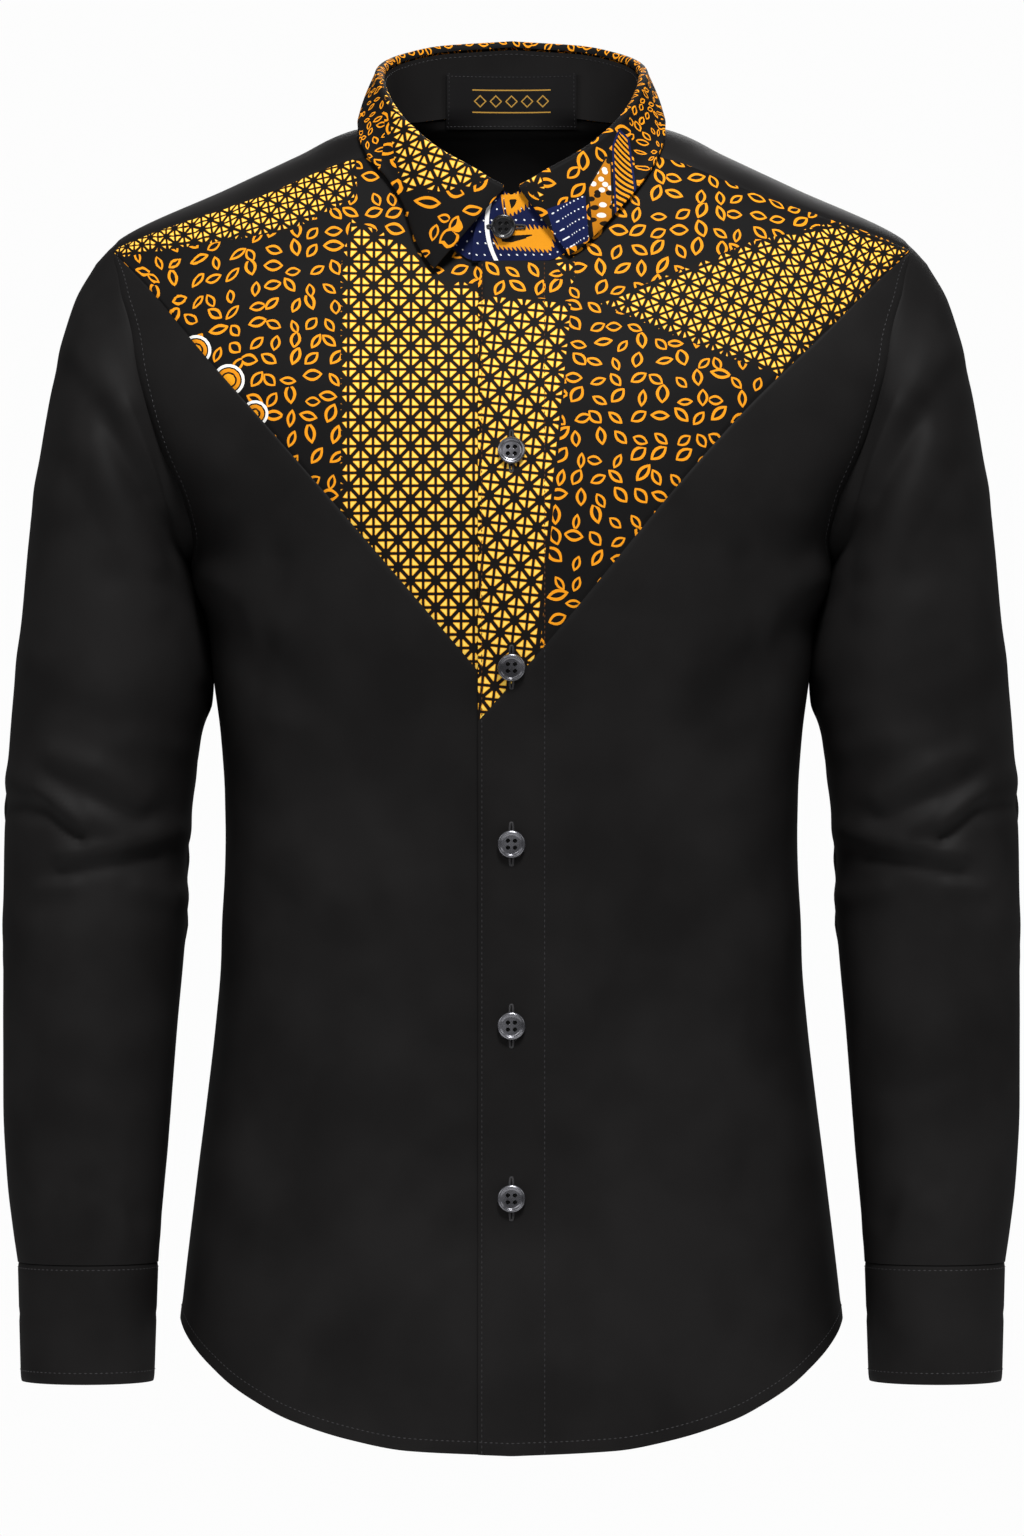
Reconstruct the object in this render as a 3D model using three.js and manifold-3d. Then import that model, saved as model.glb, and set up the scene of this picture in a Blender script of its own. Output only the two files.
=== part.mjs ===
// A man's long-sleeved shirt in black sateen with a printed V inset and collar, filled out as
// if worn. Millimetres, +Z up, front towards -Y, +X to the wearer's left. The origin is the
// middle of the neck base.
import * as THREE from 'three';
import { mergeVertices } from 'three/addons/utils/BufferGeometryUtils.js';
import Module from 'manifold-3d';

const wasm = await Module();
wasm.setup();

// Cloth and seams
const WALL = 1.2; // a panel of shirting, as a wall
const DOUBLE_WALL = 2; // stand and cuffs, two layers and interlining
const LEAF_WALL = 1.6;
const SEAM_GAP = 0.3;
const LAP_LIFT = 1.25; // each front moves this far out or in where they overlap
const STAND_LIFT = 1.3;
const LAP_FULL = 22; // the lap lift is whole up to this far past the centre
const LAP_END = 50;
const CORNER_LEAST = 0.25; // keeps a sharp corner from being drawn in too far
const SEAM_EASE = 0.55; // how much a seam's points crowd towards the armhole
const SEAM_OUTWARD = 0.5; // how much the armhole's gap leans out from the body
const MITRE_LEAST = -0.5; // cosine of the sharpest turn that two walls share as a mitre

// Body: half width at the sides, and how far front and back stand from the middle
const ROUNDNESS = 2.2; // exponent of each level section, 2 is an ellipse
const BODY = [
  { z: -730, half: 196, front: 119, back: 120 },
  { z: -641, half: 187.7, front: 116, back: 118 },
  { z: -563, half: 178.6, front: 112, back: 114 },
  { z: -518, half: 173, front: 110, back: 112 },
  { z: -473, half: 167.8, front: 108, back: 108 },
  { z: -427, half: 163.9, front: 106.5, back: 104 },
  { z: -359, half: 162.2, front: 108, back: 100 },
  { z: -313, half: 164.6, front: 112, back: 104 },
  { z: -275, half: 169.2, front: 117, back: 109 },
  { z: -249, half: 173.2, front: 120, back: 112 },
  { z: -215, half: 182, front: 121.5, back: 115 },
  { z: -206, half: 182.6, front: 121.5, back: 116 },
  { z: -181, half: 193.2, front: 120, back: 118 },
  { z: -145, half: 218.7, front: 113, back: 117 },
  { z: -119, half: 232.7, front: 106, back: 116 },
  { z: -92, half: 244.4, front: 93, back: 110 },
  { z: -66, half: 248.2, front: 81, back: 103 },
  { z: -46, half: 240, front: 71.5, back: 98 },
  { z: -29.5, half: 222.5, front: 65.5, back: 93 },
  { z: 0, half: 159.5, front: 56, back: 83 },
  { z: 18, half: 121, front: 50, back: 75.5 },
  { z: 31.8, half: 91.7, front: 45.5, back: 67 },
  { z: 36, half: 67, front: 44, back: 62 },
  { z: 46, half: 58, front: 40, back: 62 },
];

// Neckline, round the neck from the centre front (0 degrees) to the centre back (180)
const NECKLINE = [
  { angle: 0, z: -46.5 },
  { angle: 3.9, z: -46.5 },
  { angle: 6.1, z: -41 },
  { angle: 9.3, z: -28 },
  { angle: 14.7, z: -10 },
  { angle: 22.7, z: 8 },
  { angle: 29.2, z: 18 },
  { angle: 40.5, z: 29 },
  { angle: 53, z: 34 },
  { angle: 90, z: 36 },
  { angle: 120, z: 39 },
  { angle: 150, z: 43.5 },
  { angle: 180, z: 46 },
];
// Where the panels' points lie along it: the front's, from the centre to the yoke seam
const NECK_FRONT_ANGLES = [0, 3.9, 5, 6.1, 7.7, 9.3, 12, 14.7, 18.5, 22.7, 26, 29.2];
const YOKE_AT_NECK = NECK_FRONT_ANGLES[NECK_FRONT_ANGLES.length - 1];

// Armhole: a tall oval seen from the side, round from the shoulder tip (0) by the front
const TIP_Z = -31;
const ARMPIT_Z = -215;
const ARMHOLE_FRONT = 54; // how far it reaches forwards
const ARMHOLE_BACK = 62;
const YOKE_TURN = 18.8; // degrees round the armhole where the front yoke seam meets it
const V_TURN = 21.5; // and the V seam
const YOKE_BACK_TURN = 45; // and, behind the tip, the back yoke seam
const FRONT_STEPS = 10;
const BACK_STEPS = 8;
const YOKE_FRONT_STEPS = 2;
const YOKE_BACK_STEPS = 3;

// Seams and edges in front view, x outwards from the centre
const V_SEAM_RIGHT = [
  { x: -20, z: -322 },
  { x: 19.7, z: -274.7 },
  { x: 72, z: -213.3 },
  { x: 139.8, z: -135 },
  { x: 170, z: -100.6 },
  { x: 205, z: -58.5 },
];
const V_SEAM_LEFT = [
  { x: -18.5, z: -303.5 },
  { x: 18, z: -262 },
  { x: 39.5, z: -236.5 },
  { x: 95.6, z: -168.7 },
  { x: 131.4, z: -128.9 },
  { x: 186.6, z: -74.9 },
  { x: 206, z: -55.5 },
];
const YOKE_SEAM = [
  { x: 88.2, z: 13.6 },
  { x: 144, z: -7.9 },
  { x: 179.3, z: -19.3 },
  { x: 209, z: -29.4 },
];
const HEM = [
  { x: 0, z: -710 },
  { x: 57, z: -707.5 },
  { x: 89, z: -702 },
  { x: 124, z: -691.7 },
  { x: 144.6, z: -681.6 },
  { x: 157.3, z: -673.7 },
  { x: 166, z: -666.6 },
  { x: 176.4, z: -656.9 },
  { x: 184.1, z: -647.3 },
  { x: 187.7, z: -640.7 },
];
const LAP_EDGE_LEFT = -18.5; // edge of the upper front, past the centre
const LAP_EDGE_RIGHT = -20; // edge of the under front, past the centre from its side
const HEM_STEPS = 12;
const SIDE_STEPS = 12;
const BACK_SEAM_STEPS = 16;
const YOKE_ACROSS = 9;

// Sleeve rings, each across from an outer to an inner point, on the wearer's left
const SLEEVE = [
  { outerZ: -43, outerX: 236, innerX: 182.8, innerZ: -217.5, depth: 60, forward: -4 },
  { outerZ: -64, outerX: 247.9, innerX: 182.2, innerZ: -220, depth: 62, forward: -3.5 },
  { outerZ: -97, outerX: 257.5, innerX: 181, innerZ: -225, depth: 64, forward: -3 },
  { outerZ: -132, outerX: 264.4, innerX: 179.6, innerZ: -231, depth: 65.5, forward: -2 },
  { outerZ: -165, outerX: 269.5, innerX: 177.9, innerZ: -239, depth: 66, forward: -1 },
  { outerZ: -200, outerX: 274, innerX: 174.9, innerZ: -250, depth: 66, forward: 0 },
  { outerZ: -245, outerX: 278, innerX: 171.2, innerZ: -275, depth: 65, forward: 1.5 },
  { outerZ: -275, outerX: 281.3, innerX: 172.4, innerZ: -294, depth: 63.5, forward: 3 },
  { outerZ: -305, outerX: 284, innerX: 176.6, innerZ: -315, depth: 61.5, forward: 4 },
  { outerZ: -336, outerX: 286, innerX: 179.6, innerZ: -338, depth: 59, forward: 6 },
  { outerZ: -359, outerX: 287.1, innerX: 181.7, innerZ: -360, depth: 57, forward: 8 },
  { outerZ: -382, outerX: 287.6, innerX: 184, innerZ: -382.5, depth: 55, forward: 9 },
  { outerZ: -404, outerX: 287.7, innerX: 183.6, innerZ: -404, depth: 53.5, forward: 11 },
  { outerZ: -430, outerX: 287.7, innerX: 185.1, innerZ: -430, depth: 52, forward: 13 },
  { outerZ: -475, outerX: 287.5, innerX: 189, innerZ: -475, depth: 49, forward: 17 },
  { outerZ: -518, outerX: 287.3, innerX: 192.3, innerZ: -518, depth: 46, forward: 20 },
  { outerZ: -563.5, outerX: 284.7, innerX: 196, innerZ: -563.5, depth: 42.5, forward: 23 },
  { outerZ: -590, outerX: 281.5, innerX: 198.3, innerZ: -590, depth: 39.5, forward: 24 },
  { outerZ: -608, outerX: 278.8, innerX: 199.4, innerZ: -608, depth: 38, forward: 25 },
];
const SLEEVE_RINGS = [
  -43, -56, -76, -98, -122, -146, -170, -194, -218, -242, -264, -286, -306, -326, -344, -360,
  -376, -394, -414, -440, -470, -500, -530, -558, -582, -598, -608,
];

// Soft folds of a sleeve in front view: a ridge (or hollow, height under 0) along a line
const FOLDS = [
  { x0: 244.5, z0: -100, x1: 190, z1: -179, width: 13, height: 4.5 },
  { x0: 230, z0: -88, x1: 192, z1: -152, width: 11, height: -2.5 },
  { x0: 233.7, z0: -135, x1: 202.5, z1: -214, width: 15, height: 2.5 },
  { x0: 264.4, z0: -328, x1: 233.7, z1: -354, width: 11, height: 4 },
  { x0: 233.7, z0: -354, x1: 207, z1: -372, width: 11, height: 3.5 },
  { x0: 207, z0: -372, x1: 190, z1: -363, width: 10, height: 2.5 },
  { x0: 284, z0: -354, x1: 242, z1: -370, width: 11, height: -3.5 },
  { x0: 253, z0: -386, x1: 224.6, z1: -379, width: 9, height: 2.5 },
  { x0: 224.6, z0: -379, x1: 190, z1: -396, width: 10, height: 2.5 },
  { x0: 250.8, z0: -517, x1: 216, z1: -526, width: 14, height: 2 },
  { x0: 262, z0: -592, x1: 233.7, z1: -577, width: 9, height: 1.6 },
  { x0: 233.7, z0: -577, x1: 209, z1: -594, width: 9, height: 1.6 },
];
const BACK_FOLD_DROP = 16; // the folds behind lie this much lower
const FOLD_FADE = 26; // and all folds fade out this far above the cuff and below the cap
const FOLD_FREE_CUFF = 2; // with none at all this close to the cuff
const FOLD_FREE_TIP = 6; // and to the shoulder tip
const CAP_RINGS = 3; // and less over the first rings

// Cuff
const CUFF_TALL = 67;
const CUFF_BOTTOM = { outerX: 277, innerX: 201.6, depth: 36.5, forward: 26.5 };
const CUFF_LAP = 26; // degrees of overlap at the opening
const CUFF_OPENING = 262; // degrees round the cuff from the outer side, so just off the back
const CUFF_FADE = 60; // degrees from the opening where the overlap's lift starts
const CUFF_STEPS = 26;
const CUFF_SHARES = [0.006, 0.5, 1]; // its rows, from just off the sleeve to the wrist
const SLEEVE_PLACKET = { wide: 24, tall: 150, columns: 3 };

// Collar: the fold line in plan is an oval, its height runs with the angle from the front
const FOLD_HALF_WIDTH = 74;
const FOLD_FRONT = 72;
const FOLD_BACK = 61;
const FOLD_SQUARENESS = 0.92;
const FOLD_LINE = [
  { angle: 0, z: -4 },
  { angle: 3, z: -3 },
  { angle: 14, z: 5.7 },
  { angle: 30, z: 17 },
  { angle: 50, z: 33.5 },
  { angle: 65, z: 46.5 },
  { angle: 80, z: 59.5 },
  { angle: 90, z: 66 },
  { angle: 102, z: 71.5 },
  { angle: 128, z: 80 },
  { angle: 150, z: 85.5 },
  { angle: 180, z: 88.8 },
];
const LEAF_SEAM_GAP = 1.5; // between the stand's top and the leaf
const STAND_DROP = 5; // the stand ends this far below the fold
const STAND_END_LOW = 22; // the lapped end of the stand, past the centre at its foot
const STAND_END_HIGH = 7; // and at its top
const STAND_ROWS = 4;
const STAND_LOWEST = 0.015; // share of its height that keeps it off the neckline's cloth
const STAND_LAP_FULL = 3; // degrees from the front up to which the overlap's lift is whole
const STAND_LAP_END = 38;
const ROLL_RADIUS = 3;
const ROLL_TURNS = [45, 90, 135];
const ROLL_DROP = 0.9 * ROLL_RADIUS; // from the fold line to the roll's two ends
const LEAF_CLEAR = 4.2; // outer face of the leaf's edge over the shoulders and chest
const LEAF_BULGE = 2;
const LEAF_FALL_ROWS = 5;
const LEAF_ANGLES = [
  2.6, 9, 18, 28, 38, 48, 58, 68, 78, 86, 92, 97, 101, 104, 110, 122, 136, 150, 165, 180,
];
const LEAF_EDGE_RIGHT = [
  { angle: 0, x: 42.2, z: -53.5 },
  { angle: 14, x: 48, z: -46 },
  { angle: 30, x: 54.5, z: -33.8 },
  { angle: 50, x: 61, z: -14 },
  { angle: 65, x: 70, z: 1 },
  { angle: 80, x: 81, z: 13 },
  { angle: 92, x: 87, z: 23 },
  { angle: 99, x: 89.2, z: 29.5 },
  { angle: 104, x: 90, z: 32.6 },
];
const LEAF_EDGE_LEFT = [
  { angle: 0, x: 31, z: -45.5 },
  { angle: 14, x: 38.8, z: -40 },
  { angle: 30, x: 47, z: -32.5 },
  { angle: 50, x: 58, z: -20 },
  { angle: 65, x: 69, z: -7 },
  { angle: 80, x: 80, z: 8 },
  { angle: 92, x: 87, z: 21 },
  { angle: 99, x: 89.2, z: 29 },
  { angle: 104, x: 90, z: 32.6 },
];
const LEAF_EDGE_BACK = [
  { angle: 104, x: 90, z: 32.6 },
  { angle: 109, x: 88.5, z: 31 },
  { angle: 118, x: 80, z: 29 },
  { angle: 135, x: 60, z: 27.5 },
  { angle: 155, x: 30, z: 29.5 },
  { angle: 180, x: 0, z: 30.5 },
];

// Label inside the back neck
const LABEL = { wide: 78, top: 69.5, foot: 38, wall: 1, columns: 8 };
const LABEL_BELOW = 2; // its rows nearest to the neck seam, under it
const LABEL_ABOVE = 3; // and over it
const LABEL_LOOSE = 0.6; // more room between it and the stand
const LABEL_TURN = 120; // degrees round the stand, short of which it never reaches

// Buttons, by height down the centre front
const BUTTON = {
  radius: 7.4, thick: 3, bevel: 1.2, bevelTall: 1, rim: 1.1, rimDrop: 0.5, dish: 0.7, floor: 0.9,
  holes: 4, holeRadius: 0.85, holeOut: 1.7, sides: 18,
};
const CUFF_BUTTON_SCALE = 0.75;
const FRONT_BUTTON_HEIGHTS = [-154.5, -273.4, -371.5, -472.5, -568];
const COLLAR_BUTTON = { x: -4.5, z: -27, scale: 0.9 };

// Finishes
const FINISHES = {
  sateen: { color: 0x1b1a1b, roughness: 0.62 },
  print: { color: 0xb07a22, roughness: 0.7 },
  label: { color: 0x161616, roughness: 0.55 },
  greyButton: { color: 0x6b6a70, roughness: 0.2 },
  blackButton: { color: 0x18181a, roughness: 0.2 },
};

const rad = THREE.MathUtils.degToRad;
const clamp = THREE.MathUtils.clamp;
const lerp = THREE.MathUtils.lerp;
const smoothStep = THREE.MathUtils.smoothstep;

// A smooth curve through a table's rows that never overshoots them: cubic pieces whose slope
// at each row is the harmonic mean of its neighbours' slopes.
function curveThrough(rows, from, to) {
  const sorted = [...rows].sort((a, b) => a[from] - b[from]);
  const at = sorted.map((row) => row[from]);
  const value = sorted.map((row) => row[to]);
  const last = at.length - 1;
  const rise = at.slice(1).map((x, i) => (value[i + 1] - value[i]) / (x - at[i]));
  const slope = value.map((_, i) => {
    if (i === 0) return rise[0];
    if (i === last) return rise[last - 1];
    const [a, b] = [rise[i - 1], rise[i]];
    return a * b > 0 ? (2 * a * b) / (a + b) : 0;
  });
  return (x) => {
    const limited = clamp(x, at[0], at[last]);
    let i = 0;
    while (i < last - 1 && limited > at[i + 1]) i += 1;
    const span = at[i + 1] - at[i];
    const t = (limited - at[i]) / span;
    const [t2, t3] = [t * t, t * t * t];
    return (2 * t3 - 3 * t2 + 1) * value[i] + (t3 - 2 * t2 + t) * span * slope[i]
      + (3 * t2 - 2 * t3) * value[i + 1] + (t3 - t2) * span * slope[i + 1];
  };
}

const halfWidth = curveThrough(BODY, 'z', 'half');
const frontDepth = curveThrough(BODY, 'z', 'front');
const backDepth = curveThrough(BODY, 'z', 'back');
const necklineZ = curveThrough(NECKLINE, 'angle', 'z');
const hemZ = curveThrough(HEM, 'x', 'z');
const foldZ = curveThrough(FOLD_LINE, 'angle', 'z');

const signedPower = (value, power) => Math.sign(value) * Math.abs(value) ** power;

// The body's surface at an angle round the level section and a height.
function bodyPoint(angle, z) {
  const depth = Math.cos(angle) > 0 ? frontDepth(z) : backDepth(z);
  return new THREE.Vector3(
    halfWidth(z) * signedPower(Math.sin(angle), 2 / ROUNDNESS),
    -depth * signedPower(Math.cos(angle), 2 / ROUNDNESS),
    z,
  );
}

// Its outward normal, from the slope of |x / half| ^ n + |y / depth| ^ n.
function bodyNormal(point) {
  const { x, y, z } = point;
  const n = ROUNDNESS;
  const depthAt = y < 0 ? frontDepth : backDepth;
  const [half, depth] = [halfWidth(z), depthAt(z)];
  const [halfSlope, depthSlope] = [halfWidth, depthAt].map((f) => f(z + 0.5) - f(z - 0.5));
  const acrossTerm = Math.abs(x / half) ** n;
  const depthTerm = Math.abs(y / depth) ** n;
  return new THREE.Vector3(
    acrossTerm === 0 ? 0 : acrossTerm / x,
    depthTerm === 0 ? 0 : depthTerm / y,
    -(acrossTerm * halfSlope) / half - (depthTerm * depthSlope) / depth,
  ).normalize();
}

// The section angle of a point of the front seen at x and z.
function angleAt(x, z) {
  const share = clamp(Math.abs(x) / halfWidth(z), 0, 1);
  return Math.sign(x) * Math.asin(share ** (ROUNDNESS / 2));
}

const mirrored = (point) => new THREE.Vector3(-point.x, point.y, point.z);

// A closed solid from an outer and an inner grid of points, rows of equal length. With
// around true the rows close on themselves and only the first and last row have an edge.
// The edges' faces are split alike on both sides of a seam, so that they can't cross;
// splitBack says where the first row's are split the other way.
function wallGeometry(outer, inner, around = false, splitBack = () => false) {
  const rows = outer.length;
  const columns = outer[0].length;
  const positions = [...outer.flat(), ...inner.flat()].flatMap((p) => [p.x, p.y, p.z]);
  const outerAt = (i, j) => i * columns + (j % columns);
  const innerAt = (i, j) => rows * columns + outerAt(i, j);
  const index = [];
  const quad = (a, b, c, d) => index.push(a, b, c, a, c, d);
  const lastColumn = around ? columns : columns - 1;
  for (let i = 0; i < rows - 1; i += 1) {
    for (let j = 0; j < lastColumn; j += 1) {
      quad(outerAt(i, j), outerAt(i, j + 1), outerAt(i + 1, j + 1), outerAt(i + 1, j));
      quad(innerAt(i, j), innerAt(i + 1, j), innerAt(i + 1, j + 1), innerAt(i, j + 1));
    }
  }
  for (let j = 0; j < lastColumn; j += 1) {
    const top = rows - 1;
    const edge = [outerAt(0, j), innerAt(0, j), innerAt(0, j + 1), outerAt(0, j + 1)];
    if (splitBack(j)) edge.push(edge.shift());
    quad(...edge);
    quad(outerAt(top, j), outerAt(top, j + 1), innerAt(top, j + 1), innerAt(top, j));
  }
  if (!around) {
    for (let i = 0; i < rows - 1; i += 1) {
      const end = columns - 1;
      quad(outerAt(i, 0), outerAt(i + 1, 0), innerAt(i + 1, 0), innerAt(i, 0));
      quad(outerAt(i, end), innerAt(i, end), innerAt(i + 1, end), outerAt(i + 1, end));
    }
  }
  const geometry = new THREE.BufferGeometry();
  geometry.setAttribute('position', new THREE.Float32BufferAttribute(positions, 3));
  geometry.setIndex(index);
  if (signedVolume(geometry) < 0) {
    for (let i = 0; i < index.length; i += 3) [index[i], index[i + 1]] = [index[i + 1], index[i]];
    geometry.setIndex(index);
  }
  return geometry;
}

function signedVolume(geometry) {
  const position = geometry.getAttribute('position');
  const index = geometry.getIndex().array;
  const corner = (i) => new THREE.Vector3().fromBufferAttribute(position, index[i]);
  let volume = 0;
  for (let i = 0; i < index.length; i += 3) {
    volume += corner(i).dot(corner(i + 1).cross(corner(i + 2))) / 6;
  }
  return volume;
}

// Normals of a grid of points, by the difference of each point's neighbours.
function gridNormals(grid, around = false) {
  const rows = grid.length;
  const columns = grid[0].length;
  return grid.map((row, i) => row.map((_, j) => {
    const up = grid[Math.min(i + 1, rows - 1)][j].clone().sub(grid[Math.max(i - 1, 0)][j]);
    const ahead = around ? (j + 1) % columns : Math.min(j + 1, columns - 1);
    const before = around ? (j + columns - 1) % columns : Math.max(j - 1, 0);
    return row[ahead].clone().sub(row[before]).cross(up).normalize();
  }));
}

// Draws a grid's edge in by half a seam gap, square to the edge and in the cloth.
function drawInEdges(grid, normals) {
  const rows = grid.length;
  const columns = grid[0].length;
  const inward = (i, j, along, inside) => {
    const tangent = along[1].clone().sub(along[0]).normalize();
    const square = normals[i][j].clone().cross(tangent).normalize();
    return square.multiplyScalar(Math.sign(inside.clone().sub(grid[i][j]).dot(square)));
  };
  return grid.map((row, i) => row.map((point, j) => {
    const pulls = [];
    if (i === 0 || i === rows - 1) {
      const along = [row[Math.max(j - 1, 0)], row[Math.min(j + 1, columns - 1)]];
      pulls.push(inward(i, j, along, grid[i === 0 ? 1 : rows - 2][j]));
    }
    if (j === 0 || j === columns - 1) {
      const along = [grid[Math.max(i - 1, 0)][j], grid[Math.min(i + 1, rows - 1)][j]];
      pulls.push(inward(i, j, along, row[j === 0 ? 1 : columns - 2]));
    }
    if (pulls.length === 0) return point;
    const shares = pulls.length === 1 ? 1 : Math.max(1 + pulls[0].dot(pulls[1]), CORNER_LEAST);
    const pull = pulls.reduce((sum, p) => sum.add(p), new THREE.Vector3());
    return point.clone().addScaledVector(pull, SEAM_GAP / 2 / shares);
  }));
}

// A panel of the body between four edges of { angle, z, mitre }. It is ruled from foot to
// top, and bent near the start and end edges to meet them, by the cube of the nearness.
// lift gives how far it stands off the body.
function bodyPanel(foot, top, start, end, lift = () => 0) {
  const [columns, rows] = [foot.length, start.length];
  const last = columns - 1;
  const cell = (i, j) => {
    const [u, v] = [j / last, i / (rows - 1)];
    const blend = (key) => lerp(foot[j][key], top[j][key], v)
      + (1 - u) ** 3 * (start[i][key] - lerp(foot[0][key], top[0][key], v))
      + u ** 3 * (end[i][key] - lerp(foot[last][key], top[last][key], v));
    return { angle: blend('angle'), z: blend('z') };
  };
  const base = [];
  const normals = [];
  for (let i = 0; i < rows; i += 1) {
    base.push([]);
    normals.push([]);
    for (let j = 0; j < columns; j += 1) {
      const { angle, z } = cell(i, j);
      const point = bodyPoint(angle, z);
      const normal = bodyNormal(point);
      base[i].push(point.addScaledVector(normal, lift(point.x)));
      const edge = [j === 0 && start[i], j === columns - 1 && end[i], i === 0 && foot[j],
        i === rows - 1 && top[j]].find((sample) => sample && sample.mitre);
      normals[i].push(edge ? edge.mitre : normal);
    }
  }
  const outer = drawInEdges(base, normals);
  const inner = outer.map((row, i) => row.map((p, j) => p.clone()
    .addScaledVector(normals[i][j], -WALL)));
  return wallGeometry(outer, inner);
}

// Armhole stations round the loop, in degrees from the tip by the front.
function armholeTurns() {
  const turns = [];
  const add = (from, to, steps) => {
    for (let i = 0; i < steps; i += 1) turns.push(lerp(from, to, i / steps));
  };
  add(0, YOKE_TURN, YOKE_FRONT_STEPS);
  add(YOKE_TURN, V_TURN, 1);
  add(V_TURN, 180, FRONT_STEPS);
  add(180, 360 - YOKE_BACK_TURN, BACK_STEPS);
  add(360 - YOKE_BACK_TURN, 360, YOKE_BACK_STEPS);
  return turns;
}

// A point of the armhole, on the body's surface: the oval gives y and z, the section angle
// follows from y.
function armholeSample(turn) {
  const z = (TIP_Z + ARMPIT_Z) / 2 + ((TIP_Z - ARMPIT_Z) / 2) * Math.cos(rad(turn));
  const y = -(turn < 180 ? ARMHOLE_FRONT : ARMHOLE_BACK) * Math.sin(rad(turn));
  const depth = y < 0 ? frontDepth(z) : backDepth(z);
  return { angle: Math.acos(signedPower(-y / depth, ROUNDNESS / 2)), z };
}

const TURNS = armholeTurns();
const ARMHOLE = TURNS.map(armholeSample);
const YOKE_START = YOKE_FRONT_STEPS;
const V_START = YOKE_START + 1;
const ARMPIT = V_START + FRONT_STEPS;
const YOKE_BACK = ARMPIT + BACK_STEPS;

const sleeveAt = Object.fromEntries(['outerX', 'innerX', 'innerZ', 'depth', 'forward']
  .map((key) => [key, curveThrough(SLEEVE, 'outerZ', key)]));

// A tilted oval ring across the sleeve from its outer to its inner point.
function ovalRing({ outerX, outerZ, innerX, innerZ, depth, forward }, turns) {
  return turns.map((turn) => {
    const share = (1 - Math.cos(rad(turn))) / 2;
    return new THREE.Vector3(
      lerp(outerX, innerX, share),
      -forward - depth * Math.sin(rad(turn)),
      lerp(outerZ, innerZ, share),
    );
  });
}

// Height of the folds on a point of the sleeve: each is a bell-shaped ridge along its line.
function foldHeight(point, behind) {
  const z = behind ? point.z + BACK_FOLD_DROP : point.z;
  return FOLDS.reduce((sum, fold) => {
    const line = new THREE.Line3(
      new THREE.Vector3(fold.x0, 0, fold.z0),
      new THREE.Vector3(fold.x1, 0, fold.z1),
    );
    const seen = new THREE.Vector3(point.x, 0, z);
    const near = line.closestPointToPoint(seen, true, new THREE.Vector3());
    return sum + fold.height * Math.exp(-((near.distanceTo(seen) / fold.width) ** 2));
  }, 0);
}

// The sleeve's outer rings on the wearer's left. The first is the armhole itself, moved a
// seam's gap off the body.
function sleeveRings() {
  const cuffTop = SLEEVE[SLEEVE.length - 1].outerZ;
  const plain = SLEEVE_RINGS.map((outerZ) => {
    const row = Object.fromEntries(Object.entries(sleeveAt).map(([key, at]) => [key, at(outerZ)]));
    return ovalRing({ ...row, outerZ }, TURNS);
  });
  const loop = ARMHOLE.map(({ angle, z }) => bodyPoint(angle, z));
  const grid = [loop, ...plain];
  const normals = gridNormals(grid, true);
  return grid.map((ring, i) => ring.map((point, j) => {
    if (i === 0) return point.clone().addScaledVector(seamStep(loop, plain[0], j), SEAM_GAP);
    const fade = smoothStep(point.z - cuffTop, FOLD_FREE_CUFF, FOLD_FADE)
      * smoothStep(TIP_Z - point.z, FOLD_FREE_TIP, FOLD_FADE) * Math.min(i / CAP_RINGS, 1);
    const height = foldHeight(point, TURNS[j] > 180) * fade;
    return point.clone().addScaledVector(normals[i][j], height);
  }));
}

// The body's cloth direction straight past the armhole seam.
function pastSeam(loop, j) {
  const count = loop.length;
  const along = loop[(j + 1) % count].clone().sub(loop[(j + count - 1) % count]).normalize();
  return bodyNormal(loop[j]).cross(along).normalize();
}

// The step from the body to the sleeve across their seam: between the body's direction past
// the seam and the sleeve's away from it, and outwards where these oppose, in the armpit.
function seamStep(loop, ring, j) {
  const away = ring[j].clone().sub(loop[j]).normalize();
  return pastSeam(loop, j).add(away).addScaledVector(bodyNormal(loop[j]), SEAM_OUTWARD).normalize();
}

const SLEEVE_GRID = sleeveRings();
const SLEEVE_NORMALS = gridNormals(SLEEVE_GRID, true);

// Where the sleeve turns down from the body the two walls share a mitre; where it turns
// back, as in the armpit, each keeps its own normal.
const ARMHOLE_LOOP = ARMHOLE.map(({ angle, z }) => bodyPoint(angle, z));
const MITRES = ARMHOLE_LOOP.map((point, j) => {
  const body = bodyNormal(point);
  const sleeve = SLEEVE_NORMALS[0][j];
  const turnsDown = pastSeam(ARMHOLE_LOOP, j).dot(sleeve) > 0;
  const blunt = body.dot(sleeve) > MITRE_LEAST;
  return turnsDown && blunt ? body.clone().add(sleeve).normalize() : null;
});
ARMHOLE.forEach((sample, j) => { sample.mitre = MITRES[j]; });

function sleeveGeometry(flip) {
  const inner = SLEEVE_GRID.map((ring, i) => ring.map((point, j) => {
    const normal = i === 0 && MITRES[j] ? MITRES[j] : SLEEVE_NORMALS[i][j];
    return point.clone().addScaledVector(normal, -WALL);
  }));
  const place = (grid) => (flip ? grid.map((ring) => ring.map(mirrored)) : grid);
  const splitBack = flip ? (j) => j >= YOKE_START && j < ARMPIT
    : (j) => j < ARMPIT || j >= YOKE_BACK;
  return wallGeometry(place(SLEEVE_GRID), place(inner), true, splitBack);
}

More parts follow.
